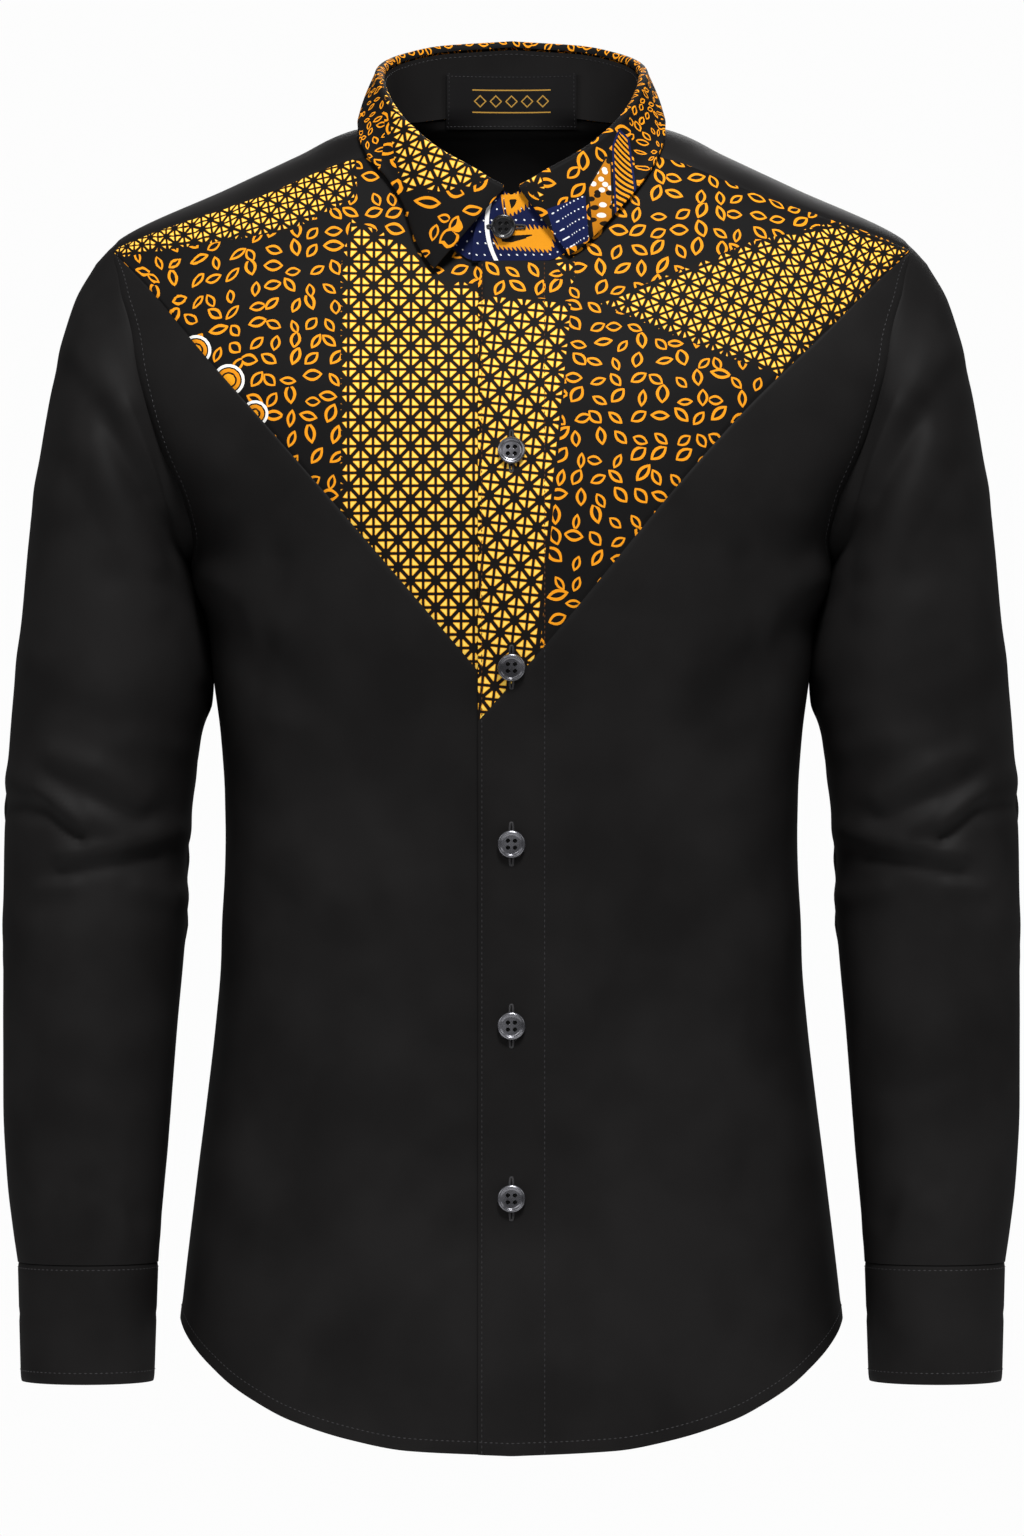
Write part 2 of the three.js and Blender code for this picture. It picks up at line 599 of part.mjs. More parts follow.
// Samples along a seam given in front view, from its start at the centre to its end.
function seamSamples(rows, endSample, steps, startX) {
  const endPoint = bodyPoint(endSample.angle, endSample.z);
  const seam = curveThrough([...rows, { x: endPoint.x, z: endPoint.z }], 'x', 'z');
  const samples = [];
  for (let i = 0; i < steps; i += 1) {
    const u = i / steps;
    const x = lerp(startX, endPoint.x, lerp(u, Math.sin((Math.PI / 2) * u), SEAM_EASE));
    samples.push({ angle: angleAt(x, seam(x)), z: seam(x) });
  }
  return [...samples, endSample];
}

// The hem from the centre edge out to the side seam.
function hemSamples(startX, steps) {
  const side = HEM[HEM.length - 1];
  const startTurn = Math.asin(startX / side.x);
  return Array.from({ length: steps + 1 }, (_, i) => {
    if (i === steps) return { angle: Math.PI / 2, z: side.z };
    const x = side.x * Math.sin(lerp(startTurn, Math.PI / 2, i / steps));
    const z = hemZ(Math.abs(x));
    return { angle: angleAt(x, z), z };
  });
}

function sideSamples() {
  const low = HEM[HEM.length - 1].z;
  return Array.from({ length: SIDE_STEPS }, (_, i) => (
    { angle: Math.PI / 2, z: lerp(low, ARMPIT_Z, i / SIDE_STEPS) }));
}

function straightSamples(from, to, steps, x) {
  return Array.from({ length: steps + 1 }, (_, i) => {
    const z = lerp(from, to, i / steps);
    return { angle: angleAt(x, z), z };
  });
}

// The lap lifts one front outwards and the other inwards, fading into the body.
function lapLift(direction, flip) {
  return (x) => {
    const out = flip ? -x : x;
    return direction * LAP_LIFT * (1 - smoothStep(out, LAP_FULL, LAP_END));
  };
}

const flipSamples = (samples) => samples.map(({ angle, z, mitre }) => (
  { angle: -angle, z, mitre: mitre && mirrored(mitre) }));

// One lower front and its printed inset, which share the V seam.
function frontPair({ seam, lapEdge, flip, direction }) {
  const place = (samples) => (flip ? flipSamples(samples) : samples);
  const vSeam = seamSamples(seam, ARMHOLE[V_START], HEM_STEPS, lapEdge);
  const hem = hemSamples(lapEdge, HEM_STEPS);
  const upTheSide = [...sideSamples(), ...ARMHOLE.slice(V_START, ARMPIT + 1).reverse()];
  const upTheLap = straightSamples(hem[0].z, vSeam[0].z, upTheSide.length - 1, lapEdge);
  const lift = lapLift(direction, flip);
  const lower = bodyPanel(place(hem), place(vSeam), place(upTheLap), place(upTheSide), lift);
  const yokeSeam = [ARMHOLE[V_START], ...frontYokeSeam()];
  const neckZ = NECKLINE[0].z;
  const neckStart = angleAt(lapEdge, neckZ);
  const neck = [{ angle: neckStart, z: neckZ }, ...NECK_FRONT_ANGLES.map((angle) => (
    { angle: rad(angle), z: necklineZ(angle) }))];
  const insetLap = straightSamples(vSeam[0].z, neckZ, yokeSeam.length - 1, lapEdge);
  const inset = bodyPanel(place(vSeam), place(neck), place(insetLap), place(yokeSeam), lift);
  return { lower, inset };
}

// The front yoke seam from the armhole to the neckline.
function frontYokeSeam() {
  const neckAngle = rad(YOKE_AT_NECK);
  const neck = { angle: neckAngle, z: necklineZ(YOKE_AT_NECK) };
  const startX = bodyPoint(neck.angle, neck.z).x;
  const rows = [...YOKE_SEAM, { x: startX, z: neck.z }];
  return seamSamples(rows, ARMHOLE[YOKE_START], YOKE_ACROSS, startX).reverse();
}

// The back seam of the yoke, from the wearer's left armhole to the right.
function backYokeSeam() {
  const start = ARMHOLE[YOKE_BACK];
  return Array.from({ length: BACK_SEAM_STEPS + 1 }, (_, i) => {
    if (i === 0) return start;
    if (i === BACK_SEAM_STEPS) return acrossTheBack([start])[0];
    return { angle: lerp(start.angle, 2 * Math.PI - start.angle, i / BACK_SEAM_STEPS), z: start.z };
  });
}

// The same samples on the other side, their angles going on past the centre back.
function acrossTheBack(samples) {
  return samples.map(({ angle, z, mitre }) => (
    { angle: 2 * Math.PI - angle, z, mitre: mitre && mirrored(mitre) }));
}

function backGeometry() {
  const half = BACK_SEAM_STEPS / 2;
  const side = HEM[HEM.length - 1];
  const hem = Array.from({ length: half + 1 }, (_, i) => {
    const x = side.x * Math.cos((Math.PI / 2) * (i / half));
    const z = i === 0 ? side.z : hemZ(x);
    return { angle: i === 0 ? Math.PI / 2 : Math.PI - angleAt(x, z), z };
  });
  const wholeHem = [...hem, ...acrossTheBack(hem.slice(0, -1)).reverse()];
  const upTheSide = [...sideSamples(), ...ARMHOLE.slice(ARMPIT, YOKE_BACK + 1)];
  return bodyPanel(wholeHem, backYokeSeam(), upTheSide, acrossTheBack(upTheSide));
}

// The yoke's points along the neckline, from one front yoke seam round to the other.
function yokeNeckAngles() {
  const steps = 2 * (YOKE_FRONT_STEPS + YOKE_BACK_STEPS) + BACK_SEAM_STEPS;
  return Array.from({ length: steps + 1 }, (_, i) => (
    lerp(YOKE_AT_NECK, 360 - YOKE_AT_NECK, i / steps)));
}

function yokeGeometry() {
  const tipRound = [
    ...ARMHOLE.slice(0, YOKE_START + 1).reverse(),
    ...ARMHOLE.slice(YOKE_BACK).reverse(),
  ];
  const outer = [...tipRound, ...backYokeSeam().slice(1, -1), ...acrossTheBack(tipRound).reverse()];
  const neck = yokeNeckAngles().map((angle) => (
    { angle: rad(angle), z: necklineZ(Math.min(angle, 360 - angle)) }));
  const seam = frontYokeSeam();
  return bodyPanel(outer, neck, seam, acrossTheBack(seam));
}

// A cuff: a band wound once round with its ends lapped, the upper end outside.
function cuffGeometry(flip) {
  const top = SLEEVE[SLEEVE.length - 1];
  const wristZ = top.outerZ - CUFF_TALL;
  const bottom = { ...CUFF_BOTTOM, outerZ: wristZ, innerZ: wristZ };
  const turns = Array.from({ length: CUFF_STEPS + 1 }, (_, i) => (
    lerp(CUFF_OPENING - 360 - CUFF_LAP / 2, CUFF_OPENING + CUFF_LAP / 2, i / CUFF_STEPS)));
  const grid = CUFF_SHARES.map((share) => {
    const row = Object.fromEntries(Object.keys(top).map((key) => (
      [key, lerp(top[key], bottom[key], share)])));
    return ovalRing(row, turns);
  });
  const normals = gridNormals(grid);
  const under = CUFF_OPENING - 360;
  const lift = (turn) => STAND_LIFT
    * (smoothStep(turn, CUFF_OPENING - CUFF_FADE, CUFF_OPENING - CUFF_LAP)
      - 1 + smoothStep(turn, under + CUFF_LAP, under + CUFF_FADE));
  const moved = (depth) => grid.map((ring, i) => ring.map((point, j) => {
    const placed = point.clone().addScaledVector(normals[i][j], lift(turns[j]) - depth);
    return flip ? mirrored(placed) : placed;
  }));
  return wallGeometry(moved(0), moved(DOUBLE_WALL));
}

// The placket strip that lies on the sleeve above the cuff's opening.
function sleevePlacketGeometry(flip) {
  const top = SLEEVE[SLEEVE.length - 1].outerZ;
  const first = SLEEVE_RINGS.findIndex((z) => z <= top + SLEEVE_PLACKET.tall) + 1;
  const half = THREE.MathUtils.radToDeg(SLEEVE_PLACKET.wide / 2 / SLEEVE[SLEEVE.length - 1].depth);
  const from = TURNS.findIndex((turn) => turn >= CUFF_OPENING - half);
  const columns = Array.from({ length: SLEEVE_PLACKET.columns }, (_, i) => from + i);
  const pick = (depth) => SLEEVE_GRID.slice(first).map((ring, i) => columns.map((j) => {
    const placed = ring[j].clone().addScaledVector(SLEEVE_NORMALS[first + i][j], depth);
    return flip ? mirrored(placed) : placed;
  }));
  return wallGeometry(pick(SEAM_GAP + WALL), pick(SEAM_GAP));
}

// The fold line of the collar in plan and height, by the angle from the centre front.
function foldPoint(angle) {
  const turn = rad(angle);
  const depth = Math.cos(turn) > 0 ? FOLD_FRONT : FOLD_BACK;
  return new THREE.Vector3(
    FOLD_HALF_WIDTH * signedPower(Math.sin(turn), FOLD_SQUARENESS),
    -depth * signedPower(Math.cos(turn), FOLD_SQUARENESS),
    foldZ(Math.abs(angle)),
  );
}

// The neck seam, signed angle, and its angle in plan.
function neckPoint(angle) {
  return bodyPoint(rad(angle), necklineZ(Math.min(Math.abs(angle), 180)));
}

// A point of the stand's outer face. along is the section angle of the neck seam, up runs
// from the seam (0) to the top (1). Past the centre front it goes straight across.
function standPoint(along, up) {
  const foot = neckPoint(along);
  const planAngle = Math.abs(THREE.MathUtils.radToDeg(Math.atan2(foot.x, -foot.y)));
  const top = foldPoint(planAngle * Math.sign(along || 1));
  top.z -= STAND_DROP;
  return foot.lerp(top, up);
}

function standGeometry() {
  const halfTurn = [...NECK_FRONT_ANGLES.slice(1), ...yokeNeckAngles().filter((angle) => (
    angle > YOKE_AT_NECK && angle < 180))];
  const angles = [...halfTurn.map((a) => -a), 180, ...halfTurn.slice().reverse()];
  const rows = Array.from({ length: STAND_ROWS + 1 }, (_, i) => (
    lerp(STAND_LOWEST, 1, i / STAND_ROWS)));
  const grid = rows.map((up) => {
    const reach = lerp(STAND_END_LOW, STAND_END_HIGH, up ** 3);
    const endZ = lerp(neckPoint(0).z, foldPoint(0).z - STAND_DROP, up);
    const endY = lerp(neckPoint(0).y, foldPoint(0).y, up);
    const ring = angles.map((along) => standPoint(along, up));
    const tail = (x) => new THREE.Vector3(x, endY, endZ);
    return [tail(reach), tail(0), ...ring, tail(0), tail(-reach)];
  });
  const normals = gridNormals(grid);
  const columns = grid[0].length;
  const lift = (j) => {
    if (j < 2) return -STAND_LIFT;
    if (j > columns - 3) return STAND_LIFT;
    const along = angles[j - 2];
    if (along === 180) return 0;
    const fade = smoothStep(Math.abs(along), STAND_LAP_FULL, STAND_LAP_END);
    return STAND_LIFT * Math.sign(along) * (1 - fade);
  };
  const outward = normals[0][columns >> 1].y > 0 ? 1 : -1;
  const moved = (depth) => grid.map((row, i) => row.map((point, j) => point.clone()
    .addScaledVector(normals[i][j], outward * (lift(j) - depth))));
  return wallGeometry(moved(0), moved(DOUBLE_WALL));
}

// The lower edge of the leaf over the body, by the fold's angle on one side.
function leafEdgePoint(angle, edgeRows) {
  const rows = angle <= LEAF_EDGE_BACK[0].angle ? edgeRows : LEAF_EDGE_BACK;
  const [x, z] = ['x', 'z'].map((key) => curveThrough(rows, 'angle', key)(angle));
  const section = rows === edgeRows ? angleAt(x, z) : Math.PI - angleAt(x, z);
  const point = bodyPoint(section, z);
  return point.addScaledVector(bodyNormal(point), LEAF_CLEAR);
}

// One section through the leaf at a fold angle: up the inside from the stand, over the roll
// and down to the edge, as seen from outside the cloth.
function leafSection(angle, edgeRows) {
  const fold = foldPoint(angle);
  const out = new THREE.Vector3(fold.x, fold.y, 0).normalize();
  const up = new THREE.Vector3(0, 0, 1);
  const at = (across, rise) => fold.clone().addScaledVector(out, across).addScaledVector(up, rise);
  const centre = ROLL_RADIUS - DOUBLE_WALL;
  const section = [
    at(-DOUBLE_WALL, -STAND_DROP + LEAF_SEAM_GAP),
    at(-DOUBLE_WALL, -ROLL_DROP),
    ...ROLL_TURNS.map((turn) => at(
      centre - ROLL_RADIUS * Math.cos(rad(turn)),
      ROLL_RADIUS * Math.sin(rad(turn)) - ROLL_DROP,
    )),
  ];
  const fallTop = at(centre + ROLL_RADIUS, -ROLL_DROP);
  const edge = leafEdgePoint(angle, edgeRows);
  for (let i = 0; i <= LEAF_FALL_ROWS; i += 1) {
    const share = i / LEAF_FALL_ROWS;
    const bulge = LEAF_BULGE * Math.sin(Math.PI * share);
    section.push(fallTop.clone().lerp(edge, share).addScaledVector(out, bulge));
  }
  return section;
}

function leafGeometry() {
  const right = LEAF_ANGLES.map((angle) => leafSection(angle, LEAF_EDGE_RIGHT).map(mirrored));
  const left = LEAF_ANGLES.slice(0, -1).map((angle) => leafSection(angle, LEAF_EDGE_LEFT));
  const grid = [...right, ...left.reverse()];
  const normals = gridNormals(grid);
  const middle = normals[LEAF_ANGLES.length - 1];
  const outward = middle[middle.length - 1].y > 0 ? 1 : -1;
  const inner = grid.map((row, i) => row.map((point, j) => point.clone()
    .addScaledVector(normals[i][j], -outward * LEAF_WALL)));
  return wallGeometry(grid, inner);
}

// The point of the stand behind the neck, at a share of its height, that is x from the
// middle: found by halving, as x falls all the way round to the back.
function standPointAt(up, x) {
  let [low, high] = [LABEL_TURN, 180];
  while (high - low > 1e-6) {
    const middle = (low + high) / 2;
    if (standPoint(middle, up).x > x) low = middle;
    else high = middle;
  }
  return standPoint(low, up);
}

// The label lies on the inside of the yoke and the stand.
function labelGeometry() {
  const neckZ = necklineZ(180);
  const topZ = foldPoint(180).z - STAND_DROP;
  const heights = [
    LABEL.foot, neckZ - LABEL_BELOW, neckZ + LABEL_ABOVE, (neckZ + LABEL.top) / 2, LABEL.top,
  ];
  const onYoke = (x, z) => {
    const point = bodyPoint(Math.PI - angleAt(x, z), z);
    return point.addScaledVector(bodyNormal(point), -WALL - SEAM_GAP - LABEL.wall);
  };
  const onStand = (x, z) => {
    const point = standPointAt((z - neckZ) / (topZ - neckZ), Math.abs(x)).setX(x).setZ(z);
    const inward = new THREE.Vector3(-point.x, -point.y, 0).normalize();
    return point.addScaledVector(inward, DOUBLE_WALL + SEAM_GAP + LABEL_LOOSE);
  };
  const outer = heights.map((z) => Array.from({ length: LABEL.columns + 1 }, (_, j) => {
    const x = LABEL.wide * (j / LABEL.columns - 1 / 2);
    return z < neckZ ? onYoke(x, z) : onStand(x, z);
  }));
  const through = new THREE.Vector3(0, -LABEL.wall, 0);
  return wallGeometry(outer, outer.map((row) => row.map((p) => p.clone().add(through))));
}

function toManifold(geometry) {
  const bare = geometry.clone();
  bare.deleteAttribute('normal');
  bare.deleteAttribute('uv');
  const merged = mergeVertices(bare);
  return new wasm.Manifold(new wasm.Mesh({
    numProp: 3,
    vertProperties: new Float32Array(merged.getAttribute('position').array),
    triVerts: new Uint32Array(merged.getIndex().array),
  }));
}

function fromManifold(solid) {
  const mesh = solid.getMesh();
  const geometry = new THREE.BufferGeometry();
  geometry.setAttribute('position', new THREE.BufferAttribute(mesh.vertProperties, 3));
  geometry.setIndex(new THREE.BufferAttribute(mesh.triVerts, 1));
  return geometry;
}

// A turned button with a raised rim and four thread holes, its back on z = 0.
function buttonGeometry() {
  const { radius, thick, holes, holeRadius, holeOut } = BUTTON;
  const profile = [
    [0, 0],
    [radius - BUTTON.bevel, 0],
    [radius, BUTTON.bevelTall],
    [radius, thick - BUTTON.rimDrop],
    [radius - BUTTON.rim, thick],
    [radius - 2 * BUTTON.rim, thick - BUTTON.dish],
    [0, thick - BUTTON.floor],
  ].map(([r, z]) => new THREE.Vector2(r, z));
  const turned = new THREE.LatheGeometry(profile, BUTTON.sides).rotateX(Math.PI / 2);
  let solid = toManifold(turned);
  for (let i = 0; i < holes; i += 1) {
    const turn = (2 * Math.PI * (i + 1 / 2)) / holes;
    const hole = new THREE.CylinderGeometry(holeRadius, holeRadius, 3 * thick, 6)
      .rotateX(Math.PI / 2)
      .translate(holeOut * Math.cos(turn), holeOut * Math.sin(turn), 0);
    solid = solid.subtract(toManifold(hole));
  }
  return fromManifold(solid);
}

const shirt = new THREE.Group();

function addPiece(name, geometry, finish) {
  const material = new THREE.MeshStandardMaterial({ metalness: 0, ...FINISHES[finish] });
  const mesh = new THREE.Mesh(geometry, material);
  mesh.name = name;
  shirt.add(mesh);
  return mesh;
}

const FRONTS = {
  right: { seam: V_SEAM_RIGHT, lapEdge: LAP_EDGE_RIGHT, flip: true, direction: -1 },
  left: { seam: V_SEAM_LEFT, lapEdge: LAP_EDGE_LEFT, flip: false, direction: 1 },
};
for (const [side, settings] of Object.entries(FRONTS)) {
  const { lower, inset } = frontPair(settings);
  addPiece(`front_${side}`, lower, 'sateen');
  addPiece(`inset_${side}`, inset, 'print');
  addPiece(`sleeve_${side}`, sleeveGeometry(settings.flip), 'sateen');
  addPiece(`sleeve_placket_${side}`, sleevePlacketGeometry(settings.flip), 'sateen');
  addPiece(`cuff_${side}`, cuffGeometry(settings.flip), 'sateen');
}
addPiece('back', backGeometry(), 'sateen');
addPiece('yoke', yokeGeometry(), 'sateen');
addPiece('collar_stand', standGeometry(), 'print');
addPiece('collar_leaf', leafGeometry(), 'print');
addPiece('neck_label', labelGeometry(), 'label');

// Sets a button on the cloth: its back a seam's gap over the point, facing the normal.
function placeButton(mesh, point, normal, scale = 1) {
  mesh.position.copy(point).addScaledVector(normal, SEAM_GAP);
  mesh.quaternion.setFromUnitVectors(new THREE.Vector3(0, 0, 1), normal);
  mesh.scale.setScalar(scale);
}

const button = buttonGeometry();
FRONT_BUTTON_HEIGHTS.forEach((z, i) => {
  const point = bodyPoint(0, z);
  const normal = bodyNormal(point);
  const mesh = addPiece(`button_front_${i + 1}`, button, 'greyButton');
  placeButton(mesh, point.addScaledVector(normal, LAP_LIFT), normal);
});
const [standFoot, standTop] = [standPoint(0, 0), standPoint(0, 1)];
const collarUp = (COLLAR_BUTTON.z - standFoot.z) / (standTop.z - standFoot.z);
const collarPoint = standPoint(0, collarUp).setX(COLLAR_BUTTON.x);
const front = new THREE.Vector3(0, -1, 0);
placeButton(addPiece('button_collar', button, 'blackButton'),
  collarPoint.addScaledVector(front, STAND_LIFT), front, COLLAR_BUTTON.scale);

for (const side of ['right', 'left']) {
  const top = SLEEVE[SLEEVE.length - 1];
  const share = 0.5;
  const row = Object.fromEntries(Object.keys(CUFF_BOTTOM).map((key) => (
    [key, lerp(top[key], CUFF_BOTTOM[key], share)])));
  const z = top.outerZ - CUFF_TALL * share;
  const [before, point, after] = ovalRing({ ...row, outerZ: z, innerZ: z },
    [CUFF_OPENING - 1, CUFF_OPENING, CUFF_OPENING + 1]);
  const along = after.clone().sub(before).normalize();
  const normal = along.clone().cross(new THREE.Vector3(0, 0, 1));
  if (normal.y < 0) normal.negate();
  point.addScaledVector(normal, STAND_LIFT);
  const flip = side === 'right';
  placeButton(addPiece(`button_cuff_${side}`, button, 'blackButton'),
    flip ? mirrored(point) : point, flip ? mirrored(normal) : normal, CUFF_BUTTON_SCALE);
}

export default shirt;
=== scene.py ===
"""Looks of a man's black long-sleeved shirt with a printed V inset and collar.

Lengths are in millimetres up to cloth_mesh and loose_mesh, which make them metres.
x runs to the wearer's left, y to the back and z up, from the middle of the neck base.
"""

import math

import bpy
import numpy as np
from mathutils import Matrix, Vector


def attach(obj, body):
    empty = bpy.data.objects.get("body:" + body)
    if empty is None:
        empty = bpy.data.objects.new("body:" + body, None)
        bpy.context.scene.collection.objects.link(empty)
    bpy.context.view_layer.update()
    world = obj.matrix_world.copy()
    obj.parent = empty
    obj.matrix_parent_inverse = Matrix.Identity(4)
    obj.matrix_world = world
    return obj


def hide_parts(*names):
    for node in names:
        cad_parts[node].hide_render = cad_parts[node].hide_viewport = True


bl_info = {
    "name": "Shirt with printed inset",
    "version": (1, 0, 0),
    "blender": (4, 5, 0),
    "location": "View3D > Sidebar > Shirt",
    "description": "Builds the cloth, stitching, buttons and stage of a long-sleeved shirt",
    "category": "Object",
}

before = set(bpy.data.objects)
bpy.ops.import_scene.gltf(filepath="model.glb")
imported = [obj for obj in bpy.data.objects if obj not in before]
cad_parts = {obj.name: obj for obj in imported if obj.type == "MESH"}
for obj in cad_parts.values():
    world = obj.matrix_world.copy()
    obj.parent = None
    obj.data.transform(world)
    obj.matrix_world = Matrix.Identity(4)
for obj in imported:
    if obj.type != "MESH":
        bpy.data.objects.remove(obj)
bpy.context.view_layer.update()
BODY = "root"
SIDES = (("left", True), ("right", False))


def table(columns, rows):
    """A table as one array a column, by the column's name."""
    return dict(zip(columns.split(), np.array(rows, float).T))


# Body, as in the solids: half width at the sides, and reach to the front and the back
ROUNDNESS = 2.2
TRUNK = table("z half front back", [
    (-730, 196, 119, 120), (-641, 187.7, 116, 118), (-563, 178.6, 112, 114),
    (-518, 173, 110, 112), (-473, 167.8, 108, 108), (-427, 163.9, 106.5, 104),
    (-359, 162.2, 108, 100), (-313, 164.6, 112, 104), (-275, 169.2, 117, 109),
    (-249, 173.2, 120, 112), (-215, 182, 121.5, 115), (-206, 182.6, 121.5, 116),
    (-181, 193.2, 120, 118), (-145, 218.7, 113, 117), (-119, 232.7, 106, 116),
    (-92, 244.4, 93, 110), (-66, 248.2, 81, 103), (-46, 240, 71.5, 98),
    (-29.5, 222.5, 65.5, 93), (0, 159.5, 56, 83), (18, 121, 50, 75.5),
    (31.8, 91.7, 45.5, 67), (36, 67, 44, 62), (46, 58, 40, 62),
])
NECKLINE = table("angle z", [
    (0, -46.5), (3.9, -46.5), (6.1, -41), (9.3, -28), (14.7, -10), (22.7, 8), (29.2, 18),
    (40.5, 29), (53, 34), (90, 36), (120, 39), (150, 43.5), (180, 46),
])
NECK_FRONT_ANGLES = (0, 3.9, 5, 6.1, 7.7, 9.3, 12, 14.7, 18.5, 22.7, 26, 29.2)
YOKE_AT_NECK = 29.2
TIP_Z = -31
ARMPIT_Z = -215
ARMHOLE_FRONT = 54
ARMHOLE_BACK = 62
YOKE_TURN = 18.8
V_TURN = 21.5
YOKE_BACK_TURN = 45

# Seams and edges in front view
V_SEAM_RIGHT = table("x z", [
    (-20, -322), (19.7, -274.7), (72, -213.3), (139.8, -135), (170, -100.6), (205, -58.5),
])
V_SEAM_LEFT = table("x z", [
    (-18.5, -303.5), (18, -262), (39.5, -236.5), (95.6, -168.7), (131.4, -128.9),
    (186.6, -74.9), (206, -55.5),
])
YOKE_SEAM = table("x z", [(88.2, 13.6), (144, -7.9), (179.3, -19.3), (209, -29.4)])
HEM = table("x z", [
    (0, -710), (57, -707.5), (89, -702), (124, -691.7), (144.6, -681.6), (157.3, -673.7),
    (166, -666.6), (176.4, -656.9), (184.1, -647.3), (187.7, -640.7),
])
SIDE_X = 187.7
SIDE_SEAM_LEAST = 140
SIDE_Z = -640.7
# Hem, seams and lap: heights over the cloth and how far a turn reaches
HEM_TALL = 7.5
HEM_PROUD = 0.35
SEAM_DROP = 0.55
SEAM_REACH = 1.6
CREASE_FADE = 28
LAP_EDGE_LEFT = -18.5
LAP_EDGE_RIGHT = -20
LAP_LIFT = 1.6
LAP_ROLL = 1.1
LAP_ROLL_REACH = 1.7
LAP_FULL = 22
LAP_END = 50
# Steps along the edges of a front: up the side seam, and on round the armhole
SIDE_STEPS = 12
ARMHOLE_STEPS = 10
FRONT_FINENESS = 7

# Sleeve rings, each across from an outer to an inner point
SLEEVE = table("outerZ outerX innerX innerZ depth forward", [
    (-43, 236, 182.8, -217.5, 60, -4), (-64, 247.9, 182.2, -220, 62, -3.5),
    (-97, 257.5, 181, -225, 64, -3), (-132, 264.4, 179.6, -231, 65.5, -2),
    (-165, 269.5, 177.9, -239, 66, -1), (-200, 274, 174.9, -250, 66, 0),
    (-245, 278, 171.2, -275, 65, 1.5), (-275, 281.3, 172.4, -294, 63.5, 3),
    (-305, 284, 176.6, -315, 61.5, 4), (-336, 286, 179.6, -338, 59, 6),
    (-359, 287.1, 181.7, -360, 57, 8), (-382, 287.6, 184, -382.5, 55, 9),
    (-404, 287.7, 183.6, -404, 53.5, 11), (-430, 287.7, 185.1, -430, 52, 13),
    (-475, 287.5, 189, -475, 49, 17), (-518, 287.3, 192.3, -518, 46, 20),
    (-563.5, 284.7, 196, -563.5, 42.5, 23), (-590, 281.5, 198.3, -590, 39.5, 24),
    (-608, 278.8, 199.4, -608, 38, 25),
])
SLEEVE_RINGS = (
    -43, -56, -76, -98, -122, -146, -170, -194, -218, -242, -264, -286, -306, -326, -344, -360,
    -376, -394, -414, -440, -470, -500, -530, -558, -582, -598, -608,
)
SLEEVE_COLUMNS = 128
RING_STEPS = 6
SEAM_TUCK = 2
TUCK_AT = -0.25
# The placket strip, on the sleeve's hidden side: its first ring, columns and lift
STRIP_FIRST_RING = 21
STRIP_COLUMNS = (88, 101)
STRIP_LIFT = 1.2
CUFF_TOP = -608
CUFF_TALL = 67
CUFF_BOTTOM = {"outerX": 277, "innerX": 201.6, "depth": 36.5, "forward": 26.5}
CUFF_LAP = 26
CUFF_OPENING = 262
CUFF_WALL = 1.8
STAND_LIFT = 1.3

# Folds of a sleeve: a ridge or a trough along a line in front view
FOLD_COLUMNS = "x0 z0 x1 z1 width height"
SHOULDER_FOLDS = table(FOLD_COLUMNS, [
    (244, -98, 217, -129, 11, 2.4), (217, -129, 190, -180, 9, 3.4),
    (250, -105, 230, -128, 9, -1.6), (230, -128, 204, -176, 8, -3.0),
    (204, -176, 186, -206, 9, -2.6), (238, -150, 202.5, -214, 12, 2.4),
    (262, -172, 236, -208, 12, 1.4), (243, -198, 226, -222, 12, -1.6),
    (216, -205, 200, -238, 9, 1.5), (185, -212, 171, -276, 8, 2.6),
    (270, -268, 240, -286, 12, 1.1), (230, -300, 196, -322, 10, -1.3),
])
ELBOW_FOLDS = table(FOLD_COLUMNS, [
    (256, -322, 234, -330, 8, 2.6), (234, -330, 208, -346, 9, 3.2),
    (280, -336, 264, -341, 8, 2.0), (264, -341, 240, -361, 5.5, 3.8),
    (238, -357, 218, -367, 8, 2.8), (250, -378, 219, -372, 7, 3.4),
    (219, -372, 192, -365, 8, 4.0), (252, -388, 200, -379, 5, -2.2),
    (282, -351, 262, -354, 6, -2.4), (262, -354, 241, -370, 4, -2.6),
    (256, -336, 206, -358, 6, -1.8), (264, -397, 246, -396, 5, 1.6),
    (212, -313, 190, -319, 9, 2.2), (208, -398, 190, -402, 7, 2.2),
])
WRIST_FOLDS = table(FOLD_COLUMNS, [
    (276, -418, 246, -424, 12, 1.6), (262, -470, 228, -488, 15, 1.8),
    (250.8, -517, 216, -526, 14, 2.2), (262, -592, 233.7, -577, 9, 1.8),
    (233.7, -577, 209, -594, 9, 1.8), (272, -556, 252, -588, 7, 1.5),
    (236, -560, 230, -598, 6, -1.4), (246, -570, 242, -603, 5, 1.3),
    (222, -566, 216, -602, 6, 1.4), (258, -578, 254, -604, 4, -1.1),
    (210, -580, 207, -604, 5, -1.1),
])
BACK_FOLD_DROP = 16
FOLD_FADE = 26
